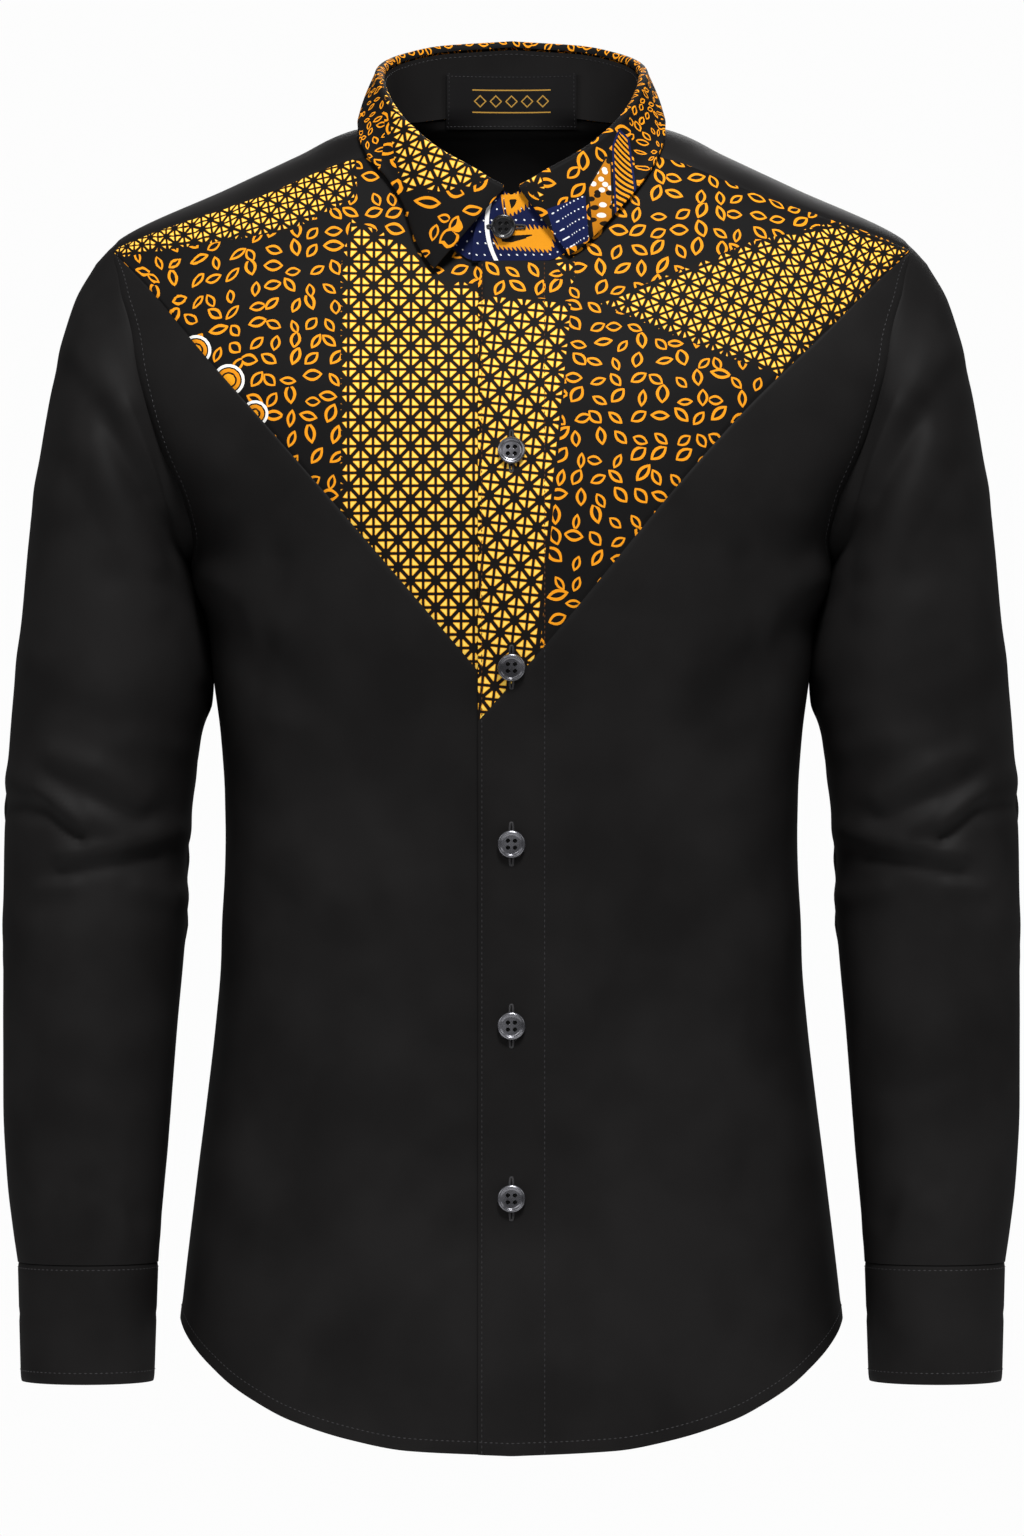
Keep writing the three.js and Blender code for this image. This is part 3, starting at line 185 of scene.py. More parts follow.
# Soft drag lines of the body, in front view, for the front and for the back
FRONT_CREASES = table(FOLD_COLUMNS, [
    (176, -206, 150, -214, 12, -2.4), (180, -222, 128, -252, 16, 3.0),
    (172, -244, 118, -292, 15, -2.8), (158, -190, 134, -300, 14, 1.8),
    (131, -215, 142, -278, 9, -2.6), (160, -262, 128, -372, 18, 2.2),
    (160, -420, 92, -520, 30, 2.0), (120, -330, 78, -470, 26, -2.0),
    (150, -470, 126, -650, 26, -2.4), (84, -480, 70, -690, 26, 2.4),
    (44, -360, 48, -640, 24, -1.4), (182, -120, 128, -176, 14, -1.4),
    (112, -606, 34, -528, 15, 2.0), (92, -650, 26, -588, 14, -1.6),
    (150, -352, 96, -404, 16, 1.8), (104, -300, 44, -382, 18, -1.5),
    (152, -560, 100, -640, 16, 1.6), (66, -400, 36, -470, 12, 1.0),
])
BACK_CREASES = table(FOLD_COLUMNS, [
    (170, -150, 96, -250, 26, 2.4), (176, -196, 110, -330, 26, -2.2),
    (140, -110, 40, -190, 30, 1.6), (158, -300, 60, -372, 24, 2.0),
    (162, -340, 70, -410, 22, -2.0), (150, -400, 60, -430, 22, 1.6),
    (130, -430, 104, -660, 32, -2.2), (76, -420, 60, -690, 32, 2.2),
    (20, -440, 26, -680, 30, -1.6), (30, -110, 18, -320, 34, -1.2),
])

# Collar
FOLD_HALF_WIDTH = 74
FOLD_FRONT = 72
FOLD_BACK = 61
FOLD_SQUARENESS = 0.92
FOLD_LINE = table("angle z", [
    (0, -4), (3, -3), (14, 5.7), (30, 17), (50, 33.5), (65, 46.5), (80, 59.5), (90, 66),
    (102, 71.5), (128, 80), (150, 85.5), (180, 88.8),
])
STAND_DROP = 5
STAND_END_LOW = 22
STAND_END_HIGH = 7
ROLL_RADIUS = 3
STAND_WALL = 2
STAND_CLOTH = 1.8
LEAF_CLOTH = 1.5
STAND_END_COLUMNS = 32
LEAF_SEAM_GAP = 1.5
LEAF_CLEAR = 4.2
LEAF_BULGE = 1.2
LEAF_START = 2.6
LEAF_TURN_BACK = 104
# Row of the leaf's grid that is on the crown of its roll
LEAF_FOLD_ROW = 7
LEAF_EDGE_RIGHT = table("angle x z", [
    (0, 42.2, -53.5), (14, 48, -46), (30, 54.5, -33.8), (50, 61, -14), (65, 70, 1),
    (80, 80, 13), (92, 84.5, 23.5), (99, 86, 30.5), (104, 86.5, 33.2),
])
LEAF_EDGE_LEFT = table("angle x z", [
    (0, 31, -45.5), (14, 38.8, -40), (30, 47, -32.5), (50, 58, -20), (65, 69, -7),
    (80, 79, 8), (92, 84.5, 21.5), (99, 86, 30.2), (104, 86.5, 33.2),
])
LEAF_EDGE_BACK = table("angle x z", [
    (104, 86.5, 33.2), (109, 85, 32), (118, 78, 29.5), (135, 60, 27.5), (155, 30, 29.5),
    (180, 0, 30.5),
])
LABEL = {"wide": 78, "top": 69.5, "foot": 38, "wall": 0.9}

# Stitch rows, by their distance in from an edge
HEM_STITCH = 7.0
ARMHOLE_STITCH = 7.5
LAP_STITCHES = (-16.4, 18.4)
CUFF_STITCHES = {"foot": 2.5, "top": 6.5, "start": 2.5, "end": 2.5}
STAND_STITCH = 2.4
LABEL_STITCH = 1.6

# Buttons: one size of resin blank, scaled for the collar and the cuffs
BUTTON_RADIUS = 7.7
BUTTON_THICK = 3
BUTTON_DISH = 0.95
BUTTON_HOLE_DEEP = 1.6
BUTTON_HOLE = 1.05
BUTTON_HOLE_OUT = 2.7
THREAD_SINK = 1.5
FRONT_BUTTON_HEIGHTS = (-154.5, -273.4, -371.5, -472.5, -568)
COLLAR_BUTTON_X = -4.5
COLLAR_BUTTON_Z = -27
COLLAR_BUTTON_SCALE = 0.9
CUFF_BUTTON_SCALE = 0.75
BUTTON_GAP = 0.3
# Half lengths of the buttonholes
FRONT_BUTTONHOLE = 11.8
COLLAR_BUTTONHOLE = 10.5
CUFF_BUTTONHOLE = 8.2

# The camera, level, straight in front of the shirt
CAMERA_DISTANCE = 4500
CAMERA_X = 0.3
CAMERA_Z = -329.4
CAMERA_LENS = 185.7
SENSOR = 36

# Where the print's star lattice lies in front view
LATTICE_RIGHT = (
    # turn in degrees, how much closer its cells are, corners
    (0, 1, ((-97, -400), (-97, -45), (-91, -17), (-54, -34), (-40, -51), (-30, -400))),
    (0, 1, ((-60, -400), (-60, -50), (30, -60), (30, -400))),
    (11, 1.25, ((-226, -40), (-226, 30), (-88, 40), (-88, -5), (-125, -24))),
)
LATTICE_LEFT = (
    (-6, 1, ((-40, -400), (-40, -57), (0, -61), (35, -60), (29, -125), (18, -260), (6, -400))),
    (20, 1.15, ((47, -66), (135, -31), (185, -19), (226, -35), (151, -109), (93, -84))),
    (-40, 1.1, ((19, -38), (36, -38), (36, -59), (28, -48))),
)
LATTICE_COLLAR = (
    (-14, 1.1, ((-74, 64), (-4, 6), (-8, 0), (-26, -1), (-61, -18), (-66, 14), (-73, 36))),
    (10, 1.1, ((5, 9), (17, 11), (20, -9), (10, -3))),
)
# Parts of the collar whose leaves are small and close
DENSE_COLLAR = (
    ((-64, 90), (-72, 30), (-70, -40), (-110, -40), (-110, 90)),
    ((61, 90), (68, 30), (76, -40), (120, -40), (120, 90)),
)
# Bands of the print on the leaf, made up in its colours
NAVY_BAND = ((20, -12), (42, -4), (44, -30), (27, -36))
OCHRE_BAND = ((43, 0), (54, 19), (57, 14), (58, -20), (46, -30))
STRIPE_BAND = ((57, 24), (61, 34), (67, 28), (72, -10), (59, -22))
# Scallops of the print that the V seam cuts through
SCALLOPS = ((-179, -92, 8.5), (-160.5, -109, 9), (-145.5, -128, 7.5))
# Toothed bars on the end of the stand
STAND_BARS = (
    ((-6, -3), (20, -2), (20, -17), (-3, -15)),
    ((-11, -24), (24, -22), (24, -36), (-8, -34)),
)

# Pitches of the print, in millimetres
LATTICE_CELL = (7.0, 7.5)
LEAF_SPACING = 11.4
SMALL_LEAF_SPACING = 6.6
LEAF_HALF_LONG = 4.3
LEAF_STROKE = 0.72

# A wave texture repeats every 0.31 over its scale, so at this scale once in a unit
WAVE_SCALE = 0.31

# Stage, in metres: lights by place, size and share of the key's power
FLOOR_RADIUS = 1.25
FLOOR_Z = -0.93
FLOOR_SIDES = 96
LIGHTS = {
    "key": ((0.3, -1.9, 2.5), 0.8, 2.7),
    "fill": ((-1.3, -3.0, 1.3), 1.4, 0.45),
    "left_side": ((-2.4, -0.6, 0.9), 1.2, 0.2),
    "right_side": ((2.4, -0.6, 0.9), 1.2, 0.2),
    "back": ((0.3, 2.4, 1.5), 1.6, 0.9),
}
LIGHT_AIM = (0, 0, -0.3)
WORLD_LIGHT = 0.13


def lerp(a, b, share):
    """a at share 0 and b at share 1, straight between."""
    return a + (b - a) * share


def smoothstep(value, low, high):
    """0 up to low, 1 from high, and 3t^2 - 2t^3 between."""
    t = np.clip((value - low) / (high - low), 0, 1)
    return t * t * (3 - 2 * t)


def signed_power(value, power):
    """The value's size to a power, with the value's own sign."""
    return np.sign(value) * np.abs(value) ** power


def curve_through(rows, at, value, x):
    """A cubic through a table's rows that never overshoots them: the slope at a row is the
    harmonic mean of the slopes on its two sides, and 0 where they turn."""
    order = np.argsort(rows[at])
    a, v = rows[at][order], rows[value][order]
    rise = np.diff(v) / np.diff(a)
    turning = rise[:-1] * rise[1:] <= 0
    total = np.where(turning, 1, rise[:-1] + rise[1:])
    inner = np.where(turning, 0, 2 * rise[:-1] * rise[1:] / total)
    slope = np.concatenate([rise[:1], inner, rise[-1:]])
    x = np.clip(x, a[0], a[-1])
    i = np.clip(np.searchsorted(a, x) - 1, 0, len(a) - 2)
    span = a[i + 1] - a[i]
    t = (x - a[i]) / span
    return ((2 * t**3 - 3 * t**2 + 1) * v[i] + (t**3 - 2 * t**2 + t) * span * slope[i]
            + (3 * t**2 - 2 * t**3) * v[i + 1] + (t**3 - t**2) * span * slope[i + 1])


def half_width(z):
    """Half the body's width at a height, from the trunk's table."""
    return curve_through(TRUNK, "z", "half", z)


def depth_at(z, in_front):
    """The body's reach to the front or to the back at a height."""
    return np.where(in_front, curve_through(TRUNK, "z", "front", z),
                    curve_through(TRUNK, "z", "back", z))


def body_point(angle, z):
    """A superellipse at each height: x is half times sin(angle) and y minus depth times
    cos(angle), each to the power 2 / roundness."""
    angle, z = np.broadcast_arrays(angle, z)
    cosine = np.cos(angle)
    return np.stack([
        half_width(z) * signed_power(np.sin(angle), 2 / ROUNDNESS),
        -depth_at(z, cosine > 0) * signed_power(cosine, 2 / ROUNDNESS),
        np.asarray(z, float),
    ], axis=-1)


def unit(vectors):
    """Vectors over their own lengths."""
    return vectors / np.maximum(np.linalg.norm(vectors, axis=-1, keepdims=True), 1e-9)


def body_normal(point):
    """The slope of |x / half|^n + |y / depth|^n, as a unit vector."""
    x, y, z = np.moveaxis(point, -1, 0)
    half, depth = half_width(z), depth_at(z, y < 0)
    half_slope = half_width(z + 0.5) - half_width(z - 0.5)
    depth_slope = depth_at(z + 0.5, y < 0) - depth_at(z - 0.5, y < 0)
    across = np.abs(x / half) ** ROUNDNESS
    along = np.abs(y / depth) ** ROUNDNESS
    return unit(np.stack([
        across / np.where(across == 0, 1, x),
        along / np.where(along == 0, 1, y),
        -across * half_slope / half - along * depth_slope / depth,
    ], axis=-1))


def angle_at(x, z):
    """The section angle of a point of the front seen at x and z."""
    share = np.clip(np.abs(x) / half_width(z), 0, 1)
    return np.sign(x) * np.arcsin(share ** (ROUNDNESS / 2))


def grid_normals(grid, around=False):
    """Cross product of the differences along the columns and along the rows."""
    down = np.gradient(grid, axis=0)
    if around:
        ahead = np.roll(grid, -1, axis=1) - np.roll(grid, 1, axis=1)
    else:
        ahead = np.gradient(grid, axis=1)
    return unit(np.cross(ahead, down))


def crease_height(x, z, creases):
    """Each crease is a bell across its line: height times exp(-(distance / width)^2), and
    it fades past its ends by the same distance. Ridges that meet are joined by the fourth
    root of the sum of their fourth powers, and so are troughs."""
    ridges, troughs = np.zeros(np.shape(x)), np.zeros(np.shape(x))
    for x0, z0, x1, z1, width, height in zip(*creases.values()):
        run = (x1 - x0) ** 2 + (z1 - z0) ** 2
        share = np.clip(((x - x0) * (x1 - x0) + (z - z0) * (z1 - z0)) / run, 0, 1)
        away = np.hypot(x - lerp(x0, x1, share), z - lerp(z0, z1, share))
        bell = (height * np.exp(-((away / width) ** 2))) ** 4
        if height > 0:
            ridges += bell
        else:
            troughs += bell
    return ridges**0.25 - troughs**0.25


def ticks(steps, fineness):
    """Stations 0 to steps, with one more close to each end for the turn at a seam."""
    inner = np.arange(1, steps * fineness) / fineness
    close = 0.3 / fineness
    return np.concatenate([[0, close], inner, [steps - close, steps]])


def armhole(turn):
    """The armhole, a tall oval seen from the side, on the body. turn is in degrees from the
    shoulder tip by the front."""
    turn = np.radians(turn)
    z = (TIP_Z + ARMPIT_Z) / 2 + (TIP_Z - ARMPIT_Z) / 2 * np.cos(turn)
    y = -np.where(np.sin(turn) > 0, ARMHOLE_FRONT, ARMHOLE_BACK) * np.sin(turn)
    share = np.clip(-y / depth_at(z, y < 0), -1, 1)
    return np.stack([np.arccos(signed_power(share, ROUNDNESS / 2)), z], axis=-1)


def seen_at(x, z):
    """Section angle and height of points of the front seen at x and z."""
    return np.stack([angle_at(x, z), z + 0 * x], axis=-1)


def seam_edge(rows, end, start_x, share):
    """A seam drawn in front view, from the centre (share 0) to its end on the armhole."""
    end_point = body_point(end[0], end[1])
    full = {"x": np.append(rows["x"], end_point[0]), "z": np.append(rows["z"], end_point[2])}
    x = lerp(start_x, end_point[0], 0.45 * share + 0.55 * np.sin(np.pi / 2 * share))
    return seen_at(x, curve_through(full, "x", "z", x))


def side_edge(t, armhole_steps, last_turn):
    """Up the side seam in SIDE_STEPS and on round the armhole to last_turn."""
    up = np.stack([np.full(t.shape, np.pi / 2), lerp(SIDE_Z, ARMPIT_Z, t / SIDE_STEPS)], axis=-1)
    turn = lerp(180, last_turn, (t - SIDE_STEPS) / armhole_steps)
    return np.where((t < SIDE_STEPS)[:, None], up, armhole(turn))


def hem_edge(t, start_x):
    """The hem from the lap's edge (0) to the side seam (12): x runs with a sine, so its
    stations are even over the curved cloth."""
    x = SIDE_X * np.sin(lerp(np.arcsin(start_x / SIDE_X), np.pi / 2, t / 12))
    return seen_at(x, curve_through(HEM, "x", "z", np.abs(x)))


def yoke_edge(share):
    """The front yoke seam from the armhole (share 0) to the neckline."""
    z = float(curve_through(NECKLINE, "angle", "z", YOKE_AT_NECK))
    start = body_point(math.radians(YOKE_AT_NECK), z)
    rows = {"x": np.append(YOKE_SEAM["x"], start[0]), "z": np.append(YOKE_SEAM["z"], z)}
    return seam_edge(rows, armhole(YOKE_TURN), start[0], 1 - share)


def across_the_back(edge):
    """An edge of the wearer's left, carried to the right: the angle is 360 degrees less."""
    return np.stack([2 * np.pi - edge[:, 0], edge[:, 1]], axis=-1)


def back_seam(t):
    """The level seam of back and yoke, from armhole (0) to armhole (16)."""
    start = armhole(360 - YOKE_BACK_TURN)
    angle = lerp(start[0], 2 * np.pi - start[0], t / 16)
    return np.stack([angle, np.full(t.shape, start[1])], axis=-1)


def panel_cells(u, v, foot, top, start, end):
    """Between four edges of (angle, z): ruled from foot to top, with the start and end
    edges' departures from that added by (1 - u)^3 and u^3."""
    u, v = u[None, :, None], v[:, None, None]
    ruled = lerp(foot[None], top[None], v)
    at_start = start[:, None] - ruled[:, :1]
    at_end = end[:, None] - ruled[:, -1:]
    return ruled + (1 - u) ** 3 * at_start + u**3 * at_end


def edge_distance(grid, side):
    """Length over the cloth from one side of a grid to each point."""
    axis = 0 if side in ("foot", "top") else 1
    steps = np.linalg.norm(np.diff(grid, axis=axis), axis=-1)
    pad = [(1, 0), (0, 0)] if axis == 0 else [(0, 0), (1, 0)]
    run = np.pad(np.cumsum(steps, axis=axis), pad)
    whole = run[-1:] if axis == 0 else run[:, -1:]
    return run if side in ("foot", "start") else whole - run


def rolled_seams(grid, sides, drop=SEAM_DROP, reach=SEAM_REACH):
    """How far the cloth turns in at its seams: drop times exp(-(distance / reach)^2), and
    less at the side seams, below the armpit."""
    total = np.zeros(grid.shape[:2])
    below = 1 - smoothstep(grid[..., 2], ARMPIT_Z - 10, ARMPIT_Z + 10)
    at_side = smoothstep(np.abs(grid[..., 0]), LAP_END, SIDE_SEAM_LEAST)
    for side in sides:
        seam = np.exp(-((edge_distance(grid, side) / reach) ** 2))
        if side in ("start", "end"):
            seam = seam * (1 - 0.7 * below * at_side)
        total = np.maximum(total, seam)
    return -drop * total


def body_panel(cells, lift=0.0, creases=None, seams=(), hem=0.0, lap_roll=0.0):
    """A panel's outer surface: the body's, moved along its normal by the lap, the creases
    and the seams. hem is the height of a turned hem, which stands HEM_PROUD."""
    base = body_point(cells[..., 0], cells[..., 1])
    normal = body_normal(base)
    x, z = np.abs(base[..., 0]), base[..., 2]
    relief = np.zeros(x.shape)
    if creases is not None:
        relief += crease_height(x, z, creases)
    relief *= smoothstep(edge_distance(base, "foot"), -30, 40)
    for side in ("start", "end"):
        if side in seams:
            relief *= smoothstep(edge_distance(base, side), 0, CREASE_FADE)
    relief += lift + rolled_seams(base, seams)
    if lap_roll:
        relief += rolled_seams(base, ("start",), lap_roll, LAP_ROLL_REACH)
    if hem:
        at_hem = 1 - smoothstep(edge_distance(base, "foot"), hem - 0.8, hem + 0.8)
        relief += HEM_PROUD * at_hem
    return base + normal * relief[..., None]


def flat_front(cells, grid):
    """A front panel's own flat coordinates: along the level section from the centre, and up
    the cloth at a fixed x, each by adding up short lengths."""
    share = np.linspace(0, 1, 32)
    section = body_point(cells[..., 0, None] * share, cells[..., 1, None] + 0 * share)
    along = np.linalg.norm(np.diff(section, axis=-2), axis=-1).sum(-1) * np.sign(cells[..., 0])
    z = lerp(-330.0, grid[..., 2, None], np.linspace(0, 1, 48))
    across = np.clip(np.abs(grid[..., 0, None]) / half_width(z), 0, 0.97)
    y = depth_at(z, True) * (1 - across**ROUNDNESS) ** (1 / ROUNDNESS)
    up = np.hypot(np.diff(z, axis=-1), np.diff(y, axis=-1)).sum(-1)
    return np.stack([along, up], axis=-1)


def flat_by_length(grid, around=False):
    """Flat coordinates of any grid: lengths added up along the rows and down the columns."""
    if around:
        grid = np.concatenate([grid, grid[:, :1]], axis=1)
    u = edge_distance(grid, "start")
    v = edge_distance(grid, "foot")
    middle = u[:, grid.shape[1] // 2, None]
    return np.stack([u - middle, v], axis=-1)


def flat_leaf(grid):
    """The leaf's flat coordinates, square to its fold: along it, a column's place plus what
    a point departs along the fold; down it, the distance left, square to the fold."""
    fold = grid[LEAF_FOLD_ROW]
    run = np.append(0, np.cumsum(np.linalg.norm(np.diff(fold, axis=0), axis=1)))
    along = unit(np.gradient(fold, axis=0))
    away = grid - fold
    shift = (away * along).sum(-1)
    down = np.linalg.norm(away - shift[..., None] * along, axis=-1)
    rows = np.arange(len(grid))[:, None]
    down = np.where(rows > LEAF_FOLD_ROW, -down, down)
    return np.stack([run - run[-1] / 2 + shift, down], axis=-1)


def seen_from_camera(grid):
    """Where the camera sees each point, on the plane y = 0: x and z over 1 + y / distance."""
    nearer = 1 + grid[..., 1] / CAMERA_DISTANCE
    return grid[..., 0] / nearer, CAMERA_Z + (grid[..., 2] - CAMERA_Z) / nearer


def inside_polygon(x, z, corners):
    """Millimetres inside a shape with corners in order: the least distance to a side's
    line, on the side that holds the middle."""
    corners = np.array(corners, float)
    middle = corners.mean(0)
    found = np.full(x.shape, 1e3)
    for a, b in zip(corners, np.roll(corners, -1, axis=0)):
        side = np.array([a[1] - b[1], b[0] - a[0]]) / np.hypot(*(b - a))
        side *= np.sign((middle - a) @ side)
        found = np.minimum(found, (x - a[0]) * side[0] + (z - a[1]) * side[1])
    return found


def print_marks(grid, flat, zones, bands=False, scallops=False):
    """The print's layout on a piece: how far inside the lattice each point is, the flat
    coordinates turned as that lattice is, and the bands and scallops."""
    x, z = seen_from_camera(grid)
    behind = np.where(grid[..., 1] > 0, -50, 1e3)
    inside = [np.minimum(inside_polygon(x, z, corners), behind) for _, _, corners in zones]
    nearest = np.argmax(inside, axis=0)
    turn = np.radians(np.array([angle for angle, _, _ in zones], float)[nearest])
    scale = np.array([closeness for _, closeness, _ in zones], float)[nearest]
    turned = np.stack([
        flat[..., 0] * np.cos(turn) + flat[..., 1] * np.sin(turn),
        flat[..., 1] * np.cos(turn) - flat[..., 0] * np.sin(turn),
    ], axis=-1) * scale[..., None]
    marks = {"lattice": np.max(inside, axis=0)}
    if bands:
        dense = [inside_polygon(x, z, corners) for corners in DENSE_COLLAR]
        marks["dense"] = np.maximum(np.max(dense, axis=0), -behind)
        for name, corners in (("navy", NAVY_BAND), ("ochre", OCHRE_BAND), ("stripes", STRIPE_BAND)):
            marks[name] = np.minimum(inside_polygon(x, z, corners), behind)
    if scallops:
        marks["scallop"] = np.max([r - np.hypot(x - cx, z - cz) for cx, cz, r in SCALLOPS], axis=0)
    return marks, turned


def srgb(text):
    """A hex colour as linear red, green, blue and alpha."""
    values = np.array([int(text[i:i + 2], 16) for i in (1, 3, 5)]) / 255
    linear = np.where(values <= 0.04045, values / 12.92, ((values + 0.055) / 1.055) ** 2.4)
    return (*linear.tolist(), 1.0)


def grid_faces(rows, columns, around):
    """Quads of a rows by columns grid, as (row, column) pairs of each corner."""
    i, j = np.meshgrid(np.arange(rows - 1), np.arange(columns if around else columns - 1),
                       indexing="ij")
    i, j = i.ravel(), j.ravel()
    return np.stack([np.stack([i, i, i + 1, i + 1], 1), np.stack([j, j + 1, j + 1, j], 1)], 2)


def cloth_mesh(name, outer, wall, material, *, around=False, flat=None, turned=None, marks=None,
               inside=None, normals=None):
    """A closed thin shell: the outer grid, the same grid moved in by wall, and a rim."""
    rows, columns = outer.shape[:2]
    if normals is None:
        normals = grid_normals(outer, around)
    inner = outer - normals * wall
    faces = grid_faces(rows, columns, around)
    index = faces[..., 0] * columns + faces[..., 1] % columns
    count = rows * columns
    rims = [(0, 1), (rows - 1, -1)]
    last = columns if around else columns - 1
    j = np.arange(last)
    loops = [index, index[:, ::-1] + count]
    where = [faces, faces[:, ::-1]]
    for row, direction in rims:
        i = np.full(last, row)
        here, there = row * columns + j, row * columns + (j + 1) % columns
        quad = np.stack([here, here + count, there + count, there], 1)[:, ::direction]
        spot = np.stack([np.stack([i, i, i, i], 1), np.stack([j, j, j + 1, j + 1], 1)], 2)
        loops.append(quad)
        where.append(spot[:, ::direction])
    if not around:
        for column, direction in ((0, -1), (columns - 1, 1)):
            i = np.arange(rows - 1)
            here, there = i * columns + column, (i + 1) * columns + column
            quad = np.stack([here, here + count, there + count, there], 1)[:, ::direction]
            j = np.full(rows - 1, column)
            spot = np.stack([np.stack([i, i, i + 1, i + 1], 1), np.stack([j, j, j, j], 1)], 2)
            loops.append(quad)
            where.append(spot[:, ::direction])
    loops, where = np.concatenate(loops), np.concatenate(where)
    points = np.concatenate([outer.reshape(-1, 3), inner.reshape(-1, 3)]) * 0.001
    a, b, c = (points[loops[:, k]] for k in range(3))
    if (a * np.cross(b, c)).sum() < 0:
        loops, where = loops[:, ::-1], where[:, ::-1]
    mesh = bpy.data.meshes.new(name)
    mesh.from_pydata(points.tolist(), [], loops.tolist())
    if flat is None:
        flat = flat_by_length(outer, around)
    for layer, values in (("cloth", flat), ("turned", turned)):
        if values is not None:
            made = mesh.uv_layers.new(name=layer)
            made.data.foreach_set("uv", values[where[..., 0], where[..., 1]].ravel())
    for key, values in (marks or {}).items():
        both = np.concatenate([values.ravel(), values.ravel()])
        mesh.attributes.new(key, "FLOAT", "POINT").data.foreach_set("value", both)
    mesh.materials.append(material)
    if inside is not None:
        mesh.materials.append(inside)
        slots = np.zeros(len(loops), np.int32)
        slots[len(faces):2 * len(faces)] = 1
        mesh.polygons.foreach_set("material_index", slots)
    return finished(name, mesh)


def finished(name, mesh, sharp=50):
    """Shades a mesh smooth but for its sharp edges and puts it in the scene."""
    mesh.polygons.foreach_set("use_smooth", np.ones(len(mesh.polygons), bool))
    mesh.set_sharp_from_angle(angle=math.radians(sharp))
    mesh.update()
    made = bpy.data.objects.new(name, mesh)
    bpy.context.scene.collection.objects.link(made)
    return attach(made, BODY)


def loose_mesh(name, points, faces, material, sharp=50):
    """A piece from points in millimetres and their faces."""
    mesh = bpy.data.meshes.new(name)
    mesh.from_pydata((points * 0.001).tolist(), [], faces.tolist())
    mesh.materials.append(material)
    return finished(name, mesh, sharp)


def dress(piece, node):
    """The piece stands for a solid, whose part is hidden."""
    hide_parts(node)
    return piece


def mirrored(grid):
    """The same points with x negated."""
    return grid * np.array([-1, 1, 1])


def on_side(grid, left):
    """Points of the wearer's left, or their mirror image for the right."""
    return grid if left else mirrored(grid)


def lap_lift(x, outwards):
    """The lap moves one front out and the other in, and fades into the body."""
    return outwards * LAP_LIFT * (1 - smoothstep(x, LAP_FULL, LAP_END))


def front_grids(left):
    """The outer surface of one lower front, and the cells and surface of its inset, all as
    on the wearer's left."""
    seam = V_SEAM_LEFT if left else V_SEAM_RIGHT
    lap = LAP_EDGE_LEFT if left else LAP_EDGE_RIGHT
    t = ticks(12, 9)
    v_seam = seam_edge(seam, armhole(V_TURN), lap, t / 12)
    hem = hem_edge(t, lap)
    steps = SIDE_STEPS + ARMHOLE_STEPS
    s = ticks(steps, FRONT_FINENESS)
    side = side_edge(s, ARMHOLE_STEPS, V_TURN)
    up = lerp(hem[0, 1], v_seam[0, 1], s / steps)
    edge = seen_at(np.full(s.shape, float(lap)), up)
    lower = panel_cells(t / 12, s / steps, hem, v_seam, edge, side)
    neck_z = NECKLINE["z"][0]
    first = math.degrees(angle_at(lap, neck_z))
    neck_angle = np.interp(t, np.arange(13), (first, *NECK_FRONT_ANGLES))
    neck = np.stack([np.radians(neck_angle),
                     curve_through(NECKLINE, "angle", "z", np.abs(neck_angle))], axis=-1)
    r = ticks(10, 9)
    yoke = np.where((r < 1)[:, None], armhole(lerp(V_TURN, YOKE_TURN, r)), yoke_edge((r - 1) / 9))
    up = lerp(v_seam[0, 1], neck_z, r / 10)
    edge = seen_at(np.full(r.shape, float(lap)), up)
    upper = panel_cells(t / 12, r / 10, v_seam, neck, edge, yoke)
    grids = []
    for cells, seams, hem_tall in ((lower, ("top", "end"), HEM_TALL), (upper, ("foot", "end"), 0)):
        x = body_point(cells[..., 0], cells[..., 1])[..., 0]
        lift = lap_lift(x, 1 if left else -1)
        grids.append(body_panel(cells, lift, FRONT_CREASES, seams, hem_tall, LAP_ROLL))
    return grids[0], upper, grids[1]


def back_grid():
    """The back, between the hem, both side seams and armholes, and the yoke seam."""
    t = ticks(16, 11)
    half = np.minimum(t, 16 - t)
    x = SIDE_X * np.cos(np.pi / 2 * half / 8)
    z = curve_through(HEM, "x", "z", x)
    angle = np.pi - angle_at(x, z)
    foot = np.stack([np.where(t <= 8, angle, 2 * np.pi - angle), z], axis=-1)
    s = ticks(20, 8)
    side = side_edge(s, 8, 360 - YOKE_BACK_TURN)
    cells = panel_cells(t / 16, s / 20, foot, back_seam(t), side, across_the_back(side))
    return body_panel(cells, 0, BACK_CREASES, ("top", "start", "end"), HEM_TALL)


def yoke_grid():
    """The yoke, from the armholes and the back seam up to the neckline."""
    t = ticks(26, 6)
    half = np.minimum(t, 26 - t)
    turn = np.where(half < 2, lerp(YOKE_TURN, 0, half / 2), 360 - 15 * (half - 2))
    round_tip = armhole(turn)
    round_tip[t > 13] = across_the_back(round_tip[t > 13])
    foot = np.where((half <= 5)[:, None], round_tip, back_seam(t - 5))
    angle = lerp(YOKE_AT_NECK, 360 - YOKE_AT_NECK, t / 26)
    neck = np.stack([np.radians(angle), curve_through(
        NECKLINE, "angle", "z", np.minimum(angle, 360 - angle))], axis=-1)
    s = ticks(9, 7)
    seam = yoke_edge(s / 9)
    cells = panel_cells(t / 26, s / 9, foot, neck, seam, across_the_back(seam))
    return body_panel(cells, 0, None, ("foot", "start", "end"))


